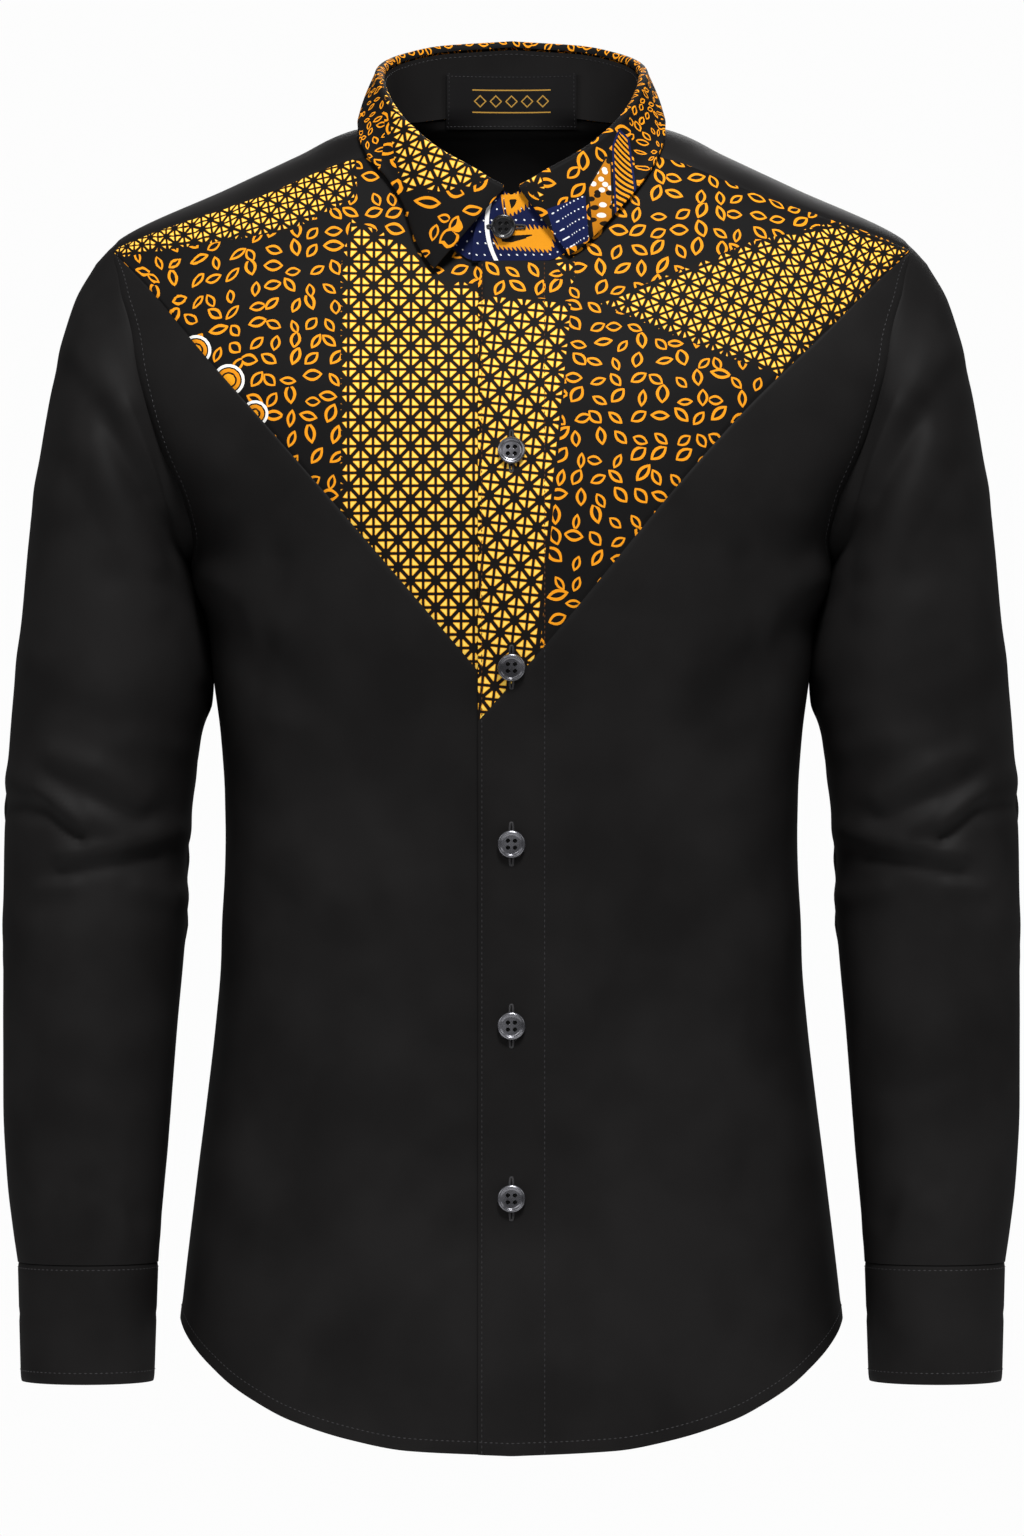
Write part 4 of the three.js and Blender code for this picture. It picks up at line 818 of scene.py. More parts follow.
def oval_ring(row, outer_z, inner_z, turn):
    """Across from an outer point to an inner one by (1 - cos) / 2, and forward by sin."""
    share = (1 - np.cos(np.radians(turn))) / 2
    return np.stack([
        lerp(row["outerX"], row["innerX"], share),
        -row["forward"] - row["depth"] * np.sin(np.radians(turn)) + 0 * share,
        lerp(outer_z, inner_z, share),
    ], axis=-1)


def sleeve_grid(turns, t):
    """Rings from the armhole (0) over the cap and down to the cuff, with the folds raised
    along their normals. A ring below 0 is the seam allowance, tucked inside the body."""
    outer_z = np.interp(t - 1, np.arange(len(SLEEVE_RINGS)), SLEEVE_RINGS)[:, None]
    row = {key: curve_through(SLEEVE, "outerZ", key, outer_z) for key in SLEEVE}
    rings = oval_ring(row, outer_z, row["innerZ"], turns[None])
    hole = armhole(turns)
    loop = body_point(hole[:, 0], hole[:, 1])
    rings = np.where((t < 1)[:, None, None], lerp(loop[None], rings, t[:, None, None]), rings)
    rings -= body_normal(loop) * SEAM_TUCK * (t < 0)[:, None, None]
    normal = grid_normals(rings, True)
    x, z = rings[..., 0], rings[..., 2]
    z_fold = np.where(turns > 180, z + BACK_FOLD_DROP, z)
    fade = (smoothstep(z - CUFF_TOP, 2, FOLD_FADE) * smoothstep(TIP_Z - z, 6, FOLD_FADE)
            * np.clip(t / 1.5, 0, 1)[:, None])
    height = sum(crease_height(x, z_fold, folds)
                 for folds in (SHOULDER_FOLDS, ELBOW_FOLDS, WRIST_FOLDS)) * fade
    # The seam round the armhole turns in, but not at the armpit, where the cloth is close
    height -= 0.3 * (1 + np.cos(np.radians(turns))) * np.exp(-((t * 4) ** 2))[:, None]
    return rings + normal * height[..., None]


def cuff_grid():
    """A band wound round once, its ends lapped, with the upper end outside."""
    turns = np.linspace(CUFF_OPENING - 360 - CUFF_LAP / 2, CUFF_OPENING + CUFF_LAP / 2, 150)
    share = np.array([0.006, 0.02, *np.linspace(0.06, 0.94, 15), 0.98, 1])[:, None]
    top = {key: SLEEVE[key][-1] for key in SLEEVE}
    row = {key: lerp(top[key], CUFF_BOTTOM[key], share) for key in CUFF_BOTTOM}
    z = CUFF_TOP - CUFF_TALL * share
    grid = oval_ring(row, z, z, turns[None])
    lift = STAND_LIFT * (smoothstep(turns, CUFF_OPENING - 60, CUFF_OPENING - CUFF_LAP) - 1
                         + smoothstep(turns, CUFF_OPENING - 360 + CUFF_LAP, CUFF_OPENING - 300))
    # A faint crease round the cuff, and edges that turn in
    crease = -0.35 * np.exp(-(((share - 0.44) * CUFF_TALL / 1.6) ** 2))
    edges = rolled_seams(grid, ("foot", "top"), 0.5, 1.4)
    return grid + grid_normals(grid) * (lift[None] + crease + edges)[..., None]


def fold_point(angle):
    """The collar's fold line: an oval in plan, at the height of the table."""
    turn = np.radians(angle)
    depth = np.where(np.cos(turn) > 0, FOLD_FRONT, FOLD_BACK)
    return np.stack([
        FOLD_HALF_WIDTH * signed_power(np.sin(turn), FOLD_SQUARENESS),
        -depth * signed_power(np.cos(turn), FOLD_SQUARENESS),
        curve_through(FOLD_LINE, "angle", "z", np.abs(angle)),
    ], axis=-1)


def neck_point(angle):
    """The neck seam by a section angle from 0 to 360 degrees round by the wearer's left."""
    near = np.minimum(np.abs(angle), 360 - np.abs(angle))
    return body_point(np.radians(angle), curve_through(NECKLINE, "angle", "z", near))


def stand_point(angle, up):
    """Straight from the neck seam (up 0) to a line just under the fold (up 1)."""
    foot = neck_point(angle)
    top = fold_point(np.degrees(np.arctan2(foot[..., 0], -foot[..., 1])))
    top[..., 2] -= STAND_DROP
    return lerp(foot, top, up)


def stand_grid():
    """The stand from its under end, at the wearer's right front, round to its outer end."""
    up = np.linspace(0.015, 1, 44)[:, None, None]
    angle = np.concatenate([np.linspace(-3.9, -40, 40)[:-1], np.linspace(-40, -320, 120),
                            np.linspace(-320, -356.1, 40)[1:]])
    ring = stand_point(angle[None], up)
    low, high = neck_point(np.array(0.0)), fold_point(np.array(0.0)) - (0, 0, STAND_DROP)
    centre = lerp(low, high, up)
    reach = lerp(STAND_END_LOW, STAND_END_HIGH, up**3)
    along = np.linspace(1, 0, STAND_END_COLUMNS)[None, :, None]
    tail = centre + reach * np.array([1, 0, 0]) * along
    grid = np.concatenate([tail, ring, mirrored(tail)[:, ::-1]], axis=1)
    near = np.minimum(np.abs(angle), 360 - np.abs(angle))
    lift = STAND_LIFT * np.where(angle > -180, -1, 1) * (1 - smoothstep(near, 3, 38))
    end = np.full(STAND_END_COLUMNS, STAND_LIFT)
    lift = np.concatenate([-end, lift, end])
    normal = grid_normals(grid)
    if normal[0, normal.shape[1] // 2, 1] < 0:
        normal = -normal
    return grid + normal * lift[None, :, None], normal


def leaf_edge(angle, rows):
    """The leaf's free edge, LEAF_CLEAR off the body."""
    in_front = angle <= LEAF_TURN_BACK
    x = np.where(in_front, curve_through(rows, "angle", "x", angle),
                 curve_through(LEAF_EDGE_BACK, "angle", "x", angle))
    z = np.where(in_front, curve_through(rows, "angle", "z", angle),
                 curve_through(LEAF_EDGE_BACK, "angle", "z", angle))
    section = angle_at(x, z)
    point = body_point(np.where(in_front, section, np.pi - section), z)
    return point + body_normal(point) * LEAF_CLEAR


def half_leaf(angle, rows):
    """Sections of the leaf: up from the stand, over a round roll and down to the edge, with
    a bulge of sin(pi * share)."""
    fold = fold_point(angle)[None]
    out = unit(fold * np.array([1, 1, 0]))
    up = np.array([0, 0, 1])
    turn = np.radians(np.linspace(0, 180, 13))[:, None, None]
    centre = ROLL_RADIUS - STAND_WALL
    roll = (fold + out * (centre - ROLL_RADIUS * np.cos(turn))
            + up * ROLL_RADIUS * (np.sin(turn) - 0.9))
    foot = fold - out * STAND_WALL + up * (LEAF_SEAM_GAP - STAND_DROP)
    share = np.linspace(0, 1, 30)[1:, None, None]
    fall = lerp(roll[-1:], leaf_edge(angle, rows)[None], share)
    fall = fall + out * LEAF_BULGE * np.sin(np.pi * share)
    return np.concatenate([foot, roll, fall])


def leaf_grid():
    """The leaf from its right front end round the back to its left, and its normals."""
    angle = np.concatenate([[LEAF_START, 3.2], np.linspace(5, 100, 52), np.linspace(101, 180, 42)])
    right = mirrored(half_leaf(angle, LEAF_EDGE_RIGHT))
    left = half_leaf(angle[:-1], LEAF_EDGE_LEFT)
    grid = np.concatenate([right, left[:, ::-1]], axis=1)
    normal = grid_normals(grid)
    if normal[-1, normal.shape[1] // 2, 1] < 0:
        normal = -normal
    edges = rolled_seams(grid, ("top", "start", "end"), 0.45, 1.3)
    return grid + normal * edges[..., None], normal


def label_grid():
    """The label lies on the inside of the yoke below the neck seam and of the stand above."""
    neck_z = float(curve_through(NECKLINE, "angle", "z", 180))
    top_z = float(fold_point(np.array(180.0))[2]) - STAND_DROP
    x = np.linspace(-LABEL["wide"] / 2, LABEL["wide"] / 2, 49)
    low = np.linspace(LABEL["foot"], neck_z - 2, 6)[:, None]
    on_yoke = body_point(np.pi - angle_at(x[None], low), low)
    on_yoke = on_yoke - body_normal(on_yoke) * 2.5
    rows = []
    for z in np.linspace(neck_z + 3, LABEL["top"], 18):
        angle = np.linspace(120, 180, 200)
        line = stand_point(angle, (z - neck_z) / (top_z - neck_z))[::-1]
        y = np.interp(np.abs(x), line[:, 0], line[:, 1])
        point = np.stack([x, y, np.full(x.shape, z)], axis=-1)
        inward = unit(-point * np.array([1, 1, 0]))
        rows.append(point + inward * 2.9)
    return np.concatenate([on_yoke, np.array(rows)])


def button_mesh(name, place, normal, scale, material):
    """A turned profile, dished inside its rim, with four holes pressed through: the top is
    lowered by a steep step inside each hole's radius."""
    radius, thick = BUTTON_RADIUS, BUTTON_THICK
    corners = table("r z", [
        (0, 0), (radius - 1.2, 0), (radius - 0.3, 0.35), (radius, 1), (radius, thick - 1),
        (radius - 0.25, thick - 0.35), (radius - 0.8, thick), (radius - 1.4, thick - 0.1),
        (radius - 2, thick - 0.75), (radius - 2.8, thick - BUTTON_DISH), (0, thick - 0.9),
    ])
    run = np.append(0, np.cumsum(np.hypot(np.diff(corners["r"]), np.diff(corners["z"]))))
    s = np.concatenate([np.linspace(0, run[1], 6), np.linspace(run[1], run[9], 26)[1:],
                        np.linspace(run[9], run[10], 26)[1:]])
    r = np.interp(s, run, corners["r"])[:, None]
    z = np.interp(s, run, corners["z"])[:, None]
    turn = np.linspace(0, 2 * np.pi, 64, endpoint=False)[None]
    x, y = r * np.cos(turn), r * np.sin(turn)
    z = z + 0 * turn
    holes = np.zeros(x.shape)
    for k in range(4):
        corner = np.pi / 4 + np.pi / 2 * k
        away = np.hypot(x - BUTTON_HOLE_OUT * np.cos(corner), y - BUTTON_HOLE_OUT * np.sin(corner))
        inside = 1 - smoothstep(away, BUTTON_HOLE - 0.12, BUTTON_HOLE + 0.12)
        inside = inside * (z > thick / 2)
        z = z - BUTTON_HOLE_DEEP * inside
        holes = np.maximum(holes, inside)
    normal = np.asarray(normal, float)
    side = unit(np.cross([0.0, 0.0, 1.0], normal))
    up = np.cross(normal, side)
    local = np.stack([x, y, z], axis=-1) * scale
    grid = (place + normal * BUTTON_GAP + local[..., :1] * side + local[..., 1:2] * up
            + local[..., 2:] * normal)
    rows, columns = grid.shape[:2]
    faces = grid_faces(rows, columns, True)
    index = faces[..., 0] * columns + faces[..., 1] % columns
    mesh = bpy.data.meshes.new(name)
    mesh.from_pydata((grid.reshape(-1, 3) * 0.001).tolist(), [], index.tolist())
    # The holes' mask, which the material fills with painted shade
    mesh.attributes.new("hole", "FLOAT", "POINT").data.foreach_set("value", holes.ravel())
    mesh.materials.append(material)
    piece = finished(name, mesh, 35)
    piece.data.validate()
    return piece, side, up


def stitch_row(path, normals, pitch=3.0, length=2.1, wide=0.34, tall=0.26):
    """Stitches along a path: each a slim lozenge, pointed at both ends."""
    run = np.append(0, np.cumsum(np.linalg.norm(np.diff(path, axis=0), axis=1)))
    at = np.arange(pitch / 2, run[-1], pitch)
    if len(at) == 0:
        return np.zeros((0, 3)), np.zeros((0, 3), int)
    pick = [np.stack([np.interp(where, run, path[:, k]) for k in range(3)], 1)
            for where in (at - 0.5, at, at + 0.5)]
    lift = unit(np.stack([np.interp(at, run, normals[:, k]) for k in range(3)], 1))
    along = unit(pick[2] - pick[0])
    side = np.cross(along, lift)
    centre = pick[1] + lift * 0.08
    points = np.stack([
        centre - along * length / 2, centre + side * wide, centre + lift * tall,
        centre - side * wide, centre - lift * tall, centre + along * length / 2,
    ], axis=1)
    one = np.array([(0, 1, 2), (0, 2, 3), (0, 3, 4), (0, 4, 1),
                    (5, 2, 1), (5, 3, 2), (5, 4, 3), (5, 1, 4)])
    faces = (one[None] + 6 * np.arange(len(at))[:, None, None]).reshape(-1, 3)
    return points.reshape(-1, 3), faces[:, ::-1]


def sew(name, rows, material, sharp=30):
    """One mesh of several stitch rows or buttonholes."""
    points, faces, total = [], [], 0
    for made in rows:
        points.append(made[0])
        faces.append(made[1] + total)
        total += len(made[0])
    piece = loose_mesh(name, np.concatenate(points), np.concatenate(faces), material, sharp)
    return piece


def inset_path(grid, normals, side, distance):
    """The line over the cloth at one distance in from an edge, by interpolation."""
    run = edge_distance(grid, side)
    if side in ("foot", "top"):
        run, grid, normals = run.T, grid.transpose(1, 0, 2), normals.transpose(1, 0, 2)
    points, lifts = [], []
    order = 1 if side in ("foot", "start") else -1
    for line, row, lift in zip(run[:, ::order], grid[:, ::order], normals[:, ::order]):
        points.append([np.interp(distance, line, row[:, k]) for k in range(3)])
        lifts.append([np.interp(distance, line, lift[:, k]) for k in range(3)])
    return np.array(points), unit(np.array(lifts))


def upright_path(grid, normals, x):
    """The line over a front where it is at x, by interpolation along each row."""
    points, lifts = [], []
    for row, lift in zip(grid, normals):
        if row[0, 0] < x < row[-1, 0]:
            points.append([np.interp(x, row[:, 0], row[:, k]) for k in range(3)])
            lifts.append([np.interp(x, row[:, 0], lift[:, k]) for k in range(3)])
    return np.array(points), unit(np.array(lifts))


def buttonhole(centre, side, up, normal, half_long, scale=1.0):
    """A worked buttonhole: a rib round a slit, with ridges like wound thread, whose height
    runs with |sin| along it."""
    t = np.linspace(0, 1, 160, endpoint=False)
    turn = 2 * np.pi * t
    across = 1.05 * scale * np.sign(np.cos(turn)) * np.abs(np.cos(turn)) ** 0.35
    along = half_long * np.sign(np.sin(turn)) * np.abs(np.sin(turn)) ** 0.8
    path = centre + across[:, None] * side + along[:, None] * up
    ahead = unit(np.roll(path, -1, axis=0) - np.roll(path, 1, axis=0))
    out = np.cross(ahead, normal)
    rib = 0.8 + 0.2 * np.abs(np.sin(turn * 26))
    bend = np.linspace(0, 2 * np.pi, 8, endpoint=False)
    grid = (path[:, None] + out[:, None] * (0.62 * scale * np.cos(bend))[None, :, None]
            + normal * (0.42 * rib[:, None] * np.sin(bend)[None])[..., None])
    rows, columns = grid.shape[:2]
    faces = grid_faces(rows + 1, columns, True)
    index = (faces[..., 0] % rows) * columns + faces[..., 1] % columns
    return grid.reshape(-1, 3), index


def node(tree, kind, inputs=None, **settings):
    """Adds a shader node. inputs are its sockets by name or number, each a socket or a
    value."""
    made = tree.nodes.new(f"ShaderNode{kind}")
    for key, value in settings.items():
        setattr(made, key, value)
    for key, value in (inputs or {}).items():
        if isinstance(value, bpy.types.NodeSocket):
            tree.links.new(value, made.inputs[key])
        else:
            made.inputs[key].default_value = value
    return made


def new_material(name, **values):
    """An empty material with one Principled shader, whose plain values are set here."""
    made = bpy.data.materials.new(name)
    made.use_nodes = True
    tree = made.node_tree
    tree.nodes.clear()
    shader = node(tree, "BsdfPrincipled", values)
    out = node(tree, "OutputMaterial", {"Surface": shader.outputs[0]})
    out.location = (300, 0)
    return made, tree, shader


def add_weave(tree, shader, pitch, depth, slant):
    """Two crossed sets of threads as a bump, pitch millimetres apart. Real shirting has
    about 0.3, which is drawn coarser so that it shows."""
    flat = node(tree, "UVMap", uv_map="cloth").outputs[0]
    turned = node(tree, "Mapping", {
        0: flat, "Rotation": (0, 0, slant), "Scale": (1 / pitch, 1 / pitch, 1)}).outputs[0]
    waves = [node(tree, "TexWave", {
        "Vector": turned, "Scale": WAVE_SCALE, "Distortion": 0.6, "Detail": 1.0},
        bands_direction=way).outputs["Fac"] for way in ("X", "Y")]
    both = node(tree, "Math", {0: waves[0], 1: waves[1]}, operation="MULTIPLY").outputs[0]
    bump = node(tree, "Bump", {"Height": both, "Distance": depth, "Strength": 0.5})
    tree.links.new(bump.outputs[0], shader.inputs["Normal"])


def sateen_material(name):
    """Black cotton sateen: a float weave that is smooth and a little lustrous, so a deep
    black with a soft wide highlight. Its dye is uneven over about 70 mm."""
    made, tree, shader = new_material(name, **{
        "Roughness": 0.58, "IOR": 1.4, "Specular IOR Level": 0.1})
    place = node(tree, "TexCoord").outputs["Object"]
    cloud = node(tree, "TexNoise", {"Vector": place, "Scale": 14.0, "Detail": 3.0})
    tone = node(tree, "ValToRGB", {0: cloud.outputs["Fac"]})
    stops = tone.color_ramp.elements
    stops[0].position, stops[0].color = 0.36, srgb("#151414")
    stops[1].position, stops[1].color = 0.64, srgb("#1c1b1b")
    tree.links.new(tone.outputs[0], shader.inputs["Base Color"])
    add_weave(tree, shader, 0.7, 0.00003, math.radians(30))
    return made


def lattice_ink(tree):
    """The star lattice: level, upright and diagonal lines through a grid of stars. Returns
    its colour by the distance from the nearest line, in millimetres."""
    flat = node(tree, "UVMap", uv_map="turned").outputs[0]
    cells = node(tree, "VectorMath", {0: flat, 1: (1 / LATTICE_CELL[0], 1 / LATTICE_CELL[1], 0)},
                 operation="MULTIPLY").outputs[0]
    diagonal = node(tree, "Mapping", {
        0: cells, "Rotation": (0, 0, math.pi / 4), "Scale": (0.7071, 0.7071, 1)}).outputs[0]
    away = []
    for source, width, half_line in ((cells, 7.2, 0.2), (diagonal, 10.2, 0.42)):
        moved = node(tree, "VectorMath", {0: source, 1: (0.5, 0.5, 0.5)}, operation="ADD")
        part = node(tree, "VectorMath", {0: moved.outputs[0]}, operation="FRACTION")
        back = node(tree, "VectorMath", {0: part.outputs[0], 1: (0.5, 0.5, 0.5)},
                    operation="SUBTRACT")
        size = node(tree, "VectorMath", {0: back.outputs[0]}, operation="ABSOLUTE")
        away.append(node(tree, "VectorMath", {
            0: size.outputs[0], 1: (width, width, 0), 2: (-half_line, -half_line, 0)},
            operation="MULTIPLY_ADD").outputs[0])
    least = node(tree, "VectorMath", {0: away[0], 1: away[1]}, operation="MINIMUM").outputs[0]
    apart = node(tree, "SeparateXYZ", {0: least}).outputs
    line = node(tree, "Math", {0: apart[0], 1: apart[1], 2: 0.5}, operation="SMOOTH_MIN").outputs[0]
    star = node(tree, "VectorMath", {0: away[1]}, operation="LENGTH").outputs["Value"]
    round_star = node(tree, "Math", {0: star, 1: 1.75}, operation="SUBTRACT").outputs[0]
    edge = node(tree, "Math", {0: line, 1: round_star}, operation="MINIMUM").outputs[0]
    mark = node(tree, "Attribute", attribute_name="lattice").outputs["Fac"]
    shrink = node(tree, "MapRange", {0: mark, 1: 0.0, 2: 4.0, 3: 0.75, 4: 0.0}).outputs[0]
    left = node(tree, "Math", {0: edge, 1: shrink}, operation="SUBTRACT").outputs[0]
    share = node(tree, "Math", {0: left, 1: 0.4}, operation="MULTIPLY").outputs[0]
    ramp = node(tree, "ValToRGB", {0: share})
    stops = ramp.color_ramp.elements
    stops[0].position, stops[0].color = 0.19, srgb("#110e0c")
    stops[1].position, stops[1].color = 0.24, srgb("#cf7f10")
    for position, colour in ((0.3, "#f2ae30"), (0.44, "#ffd75e")):
        stops.new(position).color = srgb(colour)
    return ramp.outputs[0]


def leaf_ink(tree, spacing):
    """Scattered leaf outlines: one about each point of a loose scatter, turned by chance.
    The outline is where |q| + w p^2 / l^2 - w is within half the stroke."""
    flat = node(tree, "UVMap", uv_map="cloth").outputs[0]
    scaled = node(tree, "VectorMath", {0: flat, 3: 1 / spacing}, operation="SCALE").outputs[0]
    scatter = node(tree, "TexVoronoi", {"Vector": scaled, "Scale": 1.0, "Randomness": 0.5},
                   voronoi_dimensions="2D")
    offset = node(tree, "VectorMath", {0: scaled, 1: scatter.outputs["Position"]},
                  operation="SUBTRACT").outputs[0]
    chance = node(tree, "SeparateColor", {0: scatter.outputs["Color"]}).outputs
    angle = node(tree, "Math", {0: chance[0], 1: 6.283}, operation="MULTIPLY").outputs[0]
    turned = node(tree, "VectorRotate", {"Vector": offset, "Angle": angle},
                  rotation_type="Z_AXIS").outputs[0]
    size = node(tree, "MapRange", {
        0: chance[1], 3: LEAF_SPACING * 1.12, 4: LEAF_SPACING * 0.8}).outputs[0]
    grown = node(tree, "VectorMath", {0: turned, 3: size}, operation="SCALE").outputs[0]
    apart = node(tree, "SeparateXYZ", {0: grown}).outputs
    wide = node(tree, "MapRange", {0: chance[2], 3: 1.7, 4: 2.5}).outputs[0]
    square = node(tree, "Math", {0: apart[0], 1: apart[0]}, operation="MULTIPLY").outputs[0]
    bend = node(tree, "Math", {0: square, 1: wide}, operation="MULTIPLY").outputs[0]
    across = node(tree, "Math", {0: apart[1]}, operation="ABSOLUTE").outputs[0]
    form = node(tree, "Math", {0: bend, 1: 1 / LEAF_HALF_LONG**2, 2: across},
                operation="MULTIPLY_ADD").outputs[0]
    line = node(tree, "Math", {0: form, 1: wide, 2: LEAF_STROKE}, operation="COMPARE").outputs[0]
    return node(tree, "Mix", {0: line, 6: srgb("#0f0e0e"), 7: srgb("#ee9718")},
                data_type="RGBA").outputs[2]


def over(tree, under, colour, mark, least=0.0):
    """Colour over another where a mark on the mesh is above a value or a socket."""
    if isinstance(mark, str):
        mark = node(tree, "Attribute", attribute_name=mark).outputs["Fac"]
    inside = node(tree, "Math", {0: mark, 1: least}, operation="GREATER_THAN").outputs[0]
    return node(tree, "Mix", {0: inside, 6: under, 7: colour}, data_type="RGBA").outputs[2]


def dotted(tree, pitch, dot, ground, ink):
    """Dots of one radius on a grid of pitch, in millimetres."""
    flat = node(tree, "UVMap", uv_map="cloth").outputs[0]
    cells = node(tree, "VectorMath", {0: flat, 1: pitch}, operation="MODULO").outputs[0]
    size = node(tree, "VectorMath", {0: cells}, operation="ABSOLUTE").outputs[0]
    half = (pitch[0] / 2, pitch[1] / 2, 0)
    away = node(tree, "VectorMath", {0: size, 1: half}, operation="DISTANCE").outputs["Value"]
    far = node(tree, "Math", {0: away, 1: dot}, operation="GREATER_THAN").outputs[0]
    return node(tree, "Mix", {0: far, 6: ink, 7: ground}, data_type="RGBA").outputs[2]


def spotted(tree):
    """Ochre with black and white spots of uneven size, about 4 mm apart."""
    flat = node(tree, "UVMap", uv_map="cloth").outputs[0]
    spots = node(tree, "TexVoronoi", {"Vector": flat, "Scale": 0.24, "Randomness": 0.8},
                 voronoi_dimensions="2D")
    chance = node(tree, "SeparateColor", {0: spots.outputs["Color"]}).outputs[0]
    white = node(tree, "Math", {0: chance, 1: 0.6}, operation="GREATER_THAN").outputs[0]
    ink = node(tree, "Mix", {0: white, 6: srgb("#1b1510"), 7: srgb("#f4efe6")},
               data_type="RGBA").outputs[2]
    far = node(tree, "Math", {0: spots.outputs["Distance"], 1: 0.34},
               operation="GREATER_THAN").outputs[0]
    return node(tree, "Mix", {0: far, 6: ink, 7: srgb("#c27a16")}, data_type="RGBA").outputs[2]


def striped(tree, pitch, ground, ink, share=0.5):
    """Stripes across the first flat coordinate."""
    flat = node(tree, "UVMap", uv_map="cloth").outputs[0]
    u = node(tree, "SeparateXYZ", {0: flat}).outputs[0]
    cells = node(tree, "Math", {0: u, 1: 1 / pitch}, operation="MULTIPLY").outputs[0]
    part = node(tree, "Math", {0: cells}, operation="FRACT").outputs[0]
    high = node(tree, "Math", {0: part, 1: share}, operation="GREATER_THAN").outputs[0]
    return node(tree, "Mix", {0: high, 6: ground, 7: ink}, data_type="RGBA").outputs[2]


def print_material(name, bands=False, scallops=False, stand=False):
    """Wax print on cotton: dye on both sides of a matt, close plain weave, in yellow and
    orange over black."""
    made, tree, shader = new_material(name, **{
        "Roughness": 0.7, "IOR": 1.45, "Specular IOR Level": 0.12})
    colour = leaf_ink(tree, LEAF_SPACING)
    if bands:
        colour = over(tree, colour, leaf_ink(tree, SMALL_LEAF_SPACING), "dense")
    colour = over(tree, colour, lattice_ink(tree), "lattice")
    if bands:
        navy = dotted(tree, (2.4, 5.2, 1), 0.42, srgb("#141d49"), srgb("#eef0f4"))
        colour = over(tree, colour, navy, "navy")
        colour = over(tree, colour, srgb("#1a1716"), "ochre")
        colour = over(tree, colour, spotted(tree), "ochre", 0.9)
        colour = over(tree, colour, srgb("#141d49"), "stripes")
        stripes = striped(tree, 2.6, srgb("#17130f"), srgb("#eb981a"))
        colour = over(tree, colour, stripes, "stripes", 1.2)
    if scallops:
        colour = over(tree, colour, srgb("#f6f4ef"), "scallop")
        for least, ink in ((1.6, "#1d1510"), (2.4, "#e28d14"), (4.4, "#1d1510"), (5.4, "#f3a01c")):
            colour = over(tree, colour, srgb(ink), "scallop", least)
    if stand:
        navy = dotted(tree, (4.5, 6.5, 1), 0.5, srgb("#121a42"), srgb("#eef0f4"))
        colour = over(tree, colour, navy, "stand_navy")
        colour = over(tree, colour, srgb("#f4f4f4"), "stand_line")
        flat = node(tree, "UVMap", uv_map="cloth").outputs[0]
        u = node(tree, "SeparateXYZ", {0: flat}).outputs[0]
        turn = node(tree, "Math", {0: u, 1: 2.7}, operation="MULTIPLY").outputs[0]
        teeth = node(tree, "Math", {0: turn}, operation="SINE").outputs[0]
        colour = over(tree, colour, srgb("#e8981c"), "stand_bars", teeth)
        colour = over(tree, colour, srgb("#181410"), "stand_bars", 3.6)
    tree.links.new(colour, shader.inputs["Base Color"])
    add_weave(tree, shader, 0.8, 0.00003, 0)
    return made


def label_material(name):
    """Woven damask label: close black satin with a gold thread ornament, a row of lozenges
    between two rules."""
    made, tree, shader = new_material(name, **{
        "Roughness": 0.55, "Specular IOR Level": 0.15})
    place = node(tree, "TexCoord").outputs["Object"]
    apart = node(tree, "SeparateXYZ", {0: place}).outputs
    z = node(tree, "Math", {0: apart[2], 1: 1000.0, 2: -54.0}, operation="MULTIPLY_ADD").outputs[0]
    x = node(tree, "Math", {0: apart[0], 1: 1000 / 9.0, 2: 50.5}, operation="MULTIPLY_ADD").outputs[0]
    part = node(tree, "Math", {0: x}, operation="FRACT").outputs[0]
    centred = node(tree, "Math", {0: part, 1: 0.5, 2: 0.0}, operation="SUBTRACT").outputs[0]
    across = node(tree, "Math", {0: centred}, operation="ABSOLUTE").outputs[0]
    high = node(tree, "Math", {0: z}, operation="ABSOLUTE").outputs[0]
    lozenge = node(tree, "Math", {0: across, 1: 9.0, 2: high}, operation="MULTIPLY_ADD").outputs[0]
    ring = node(tree, "Math", {0: lozenge, 1: 3.2, 2: 0.45}, operation="COMPARE").outputs[0]
    rule = node(tree, "Math", {0: high, 1: 6.4, 2: 0.35}, operation="COMPARE").outputs[0]
    both = node(tree, "Math", {0: ring, 1: rule}, operation="MAXIMUM").outputs[0]
    wide = node(tree, "Math", {0: apart[0]}, operation="ABSOLUTE").outputs[0]
    within = node(tree, "Math", {0: wide, 1: 0.0225}, operation="LESS_THAN").outputs[0]
    drawn = node(tree, "Math", {0: both, 1: within}, operation="MULTIPLY").outputs[0]
    colour = node(tree, "Mix", {0: drawn, 6: srgb("#0d0c0d"), 7: srgb("#b58a3c")},
                  data_type="RGBA").outputs[2]
    tree.links.new(colour, shader.inputs["Base Color"])
    add_weave(tree, shader, 0.6, 0.00004, math.radians(45))
    return made


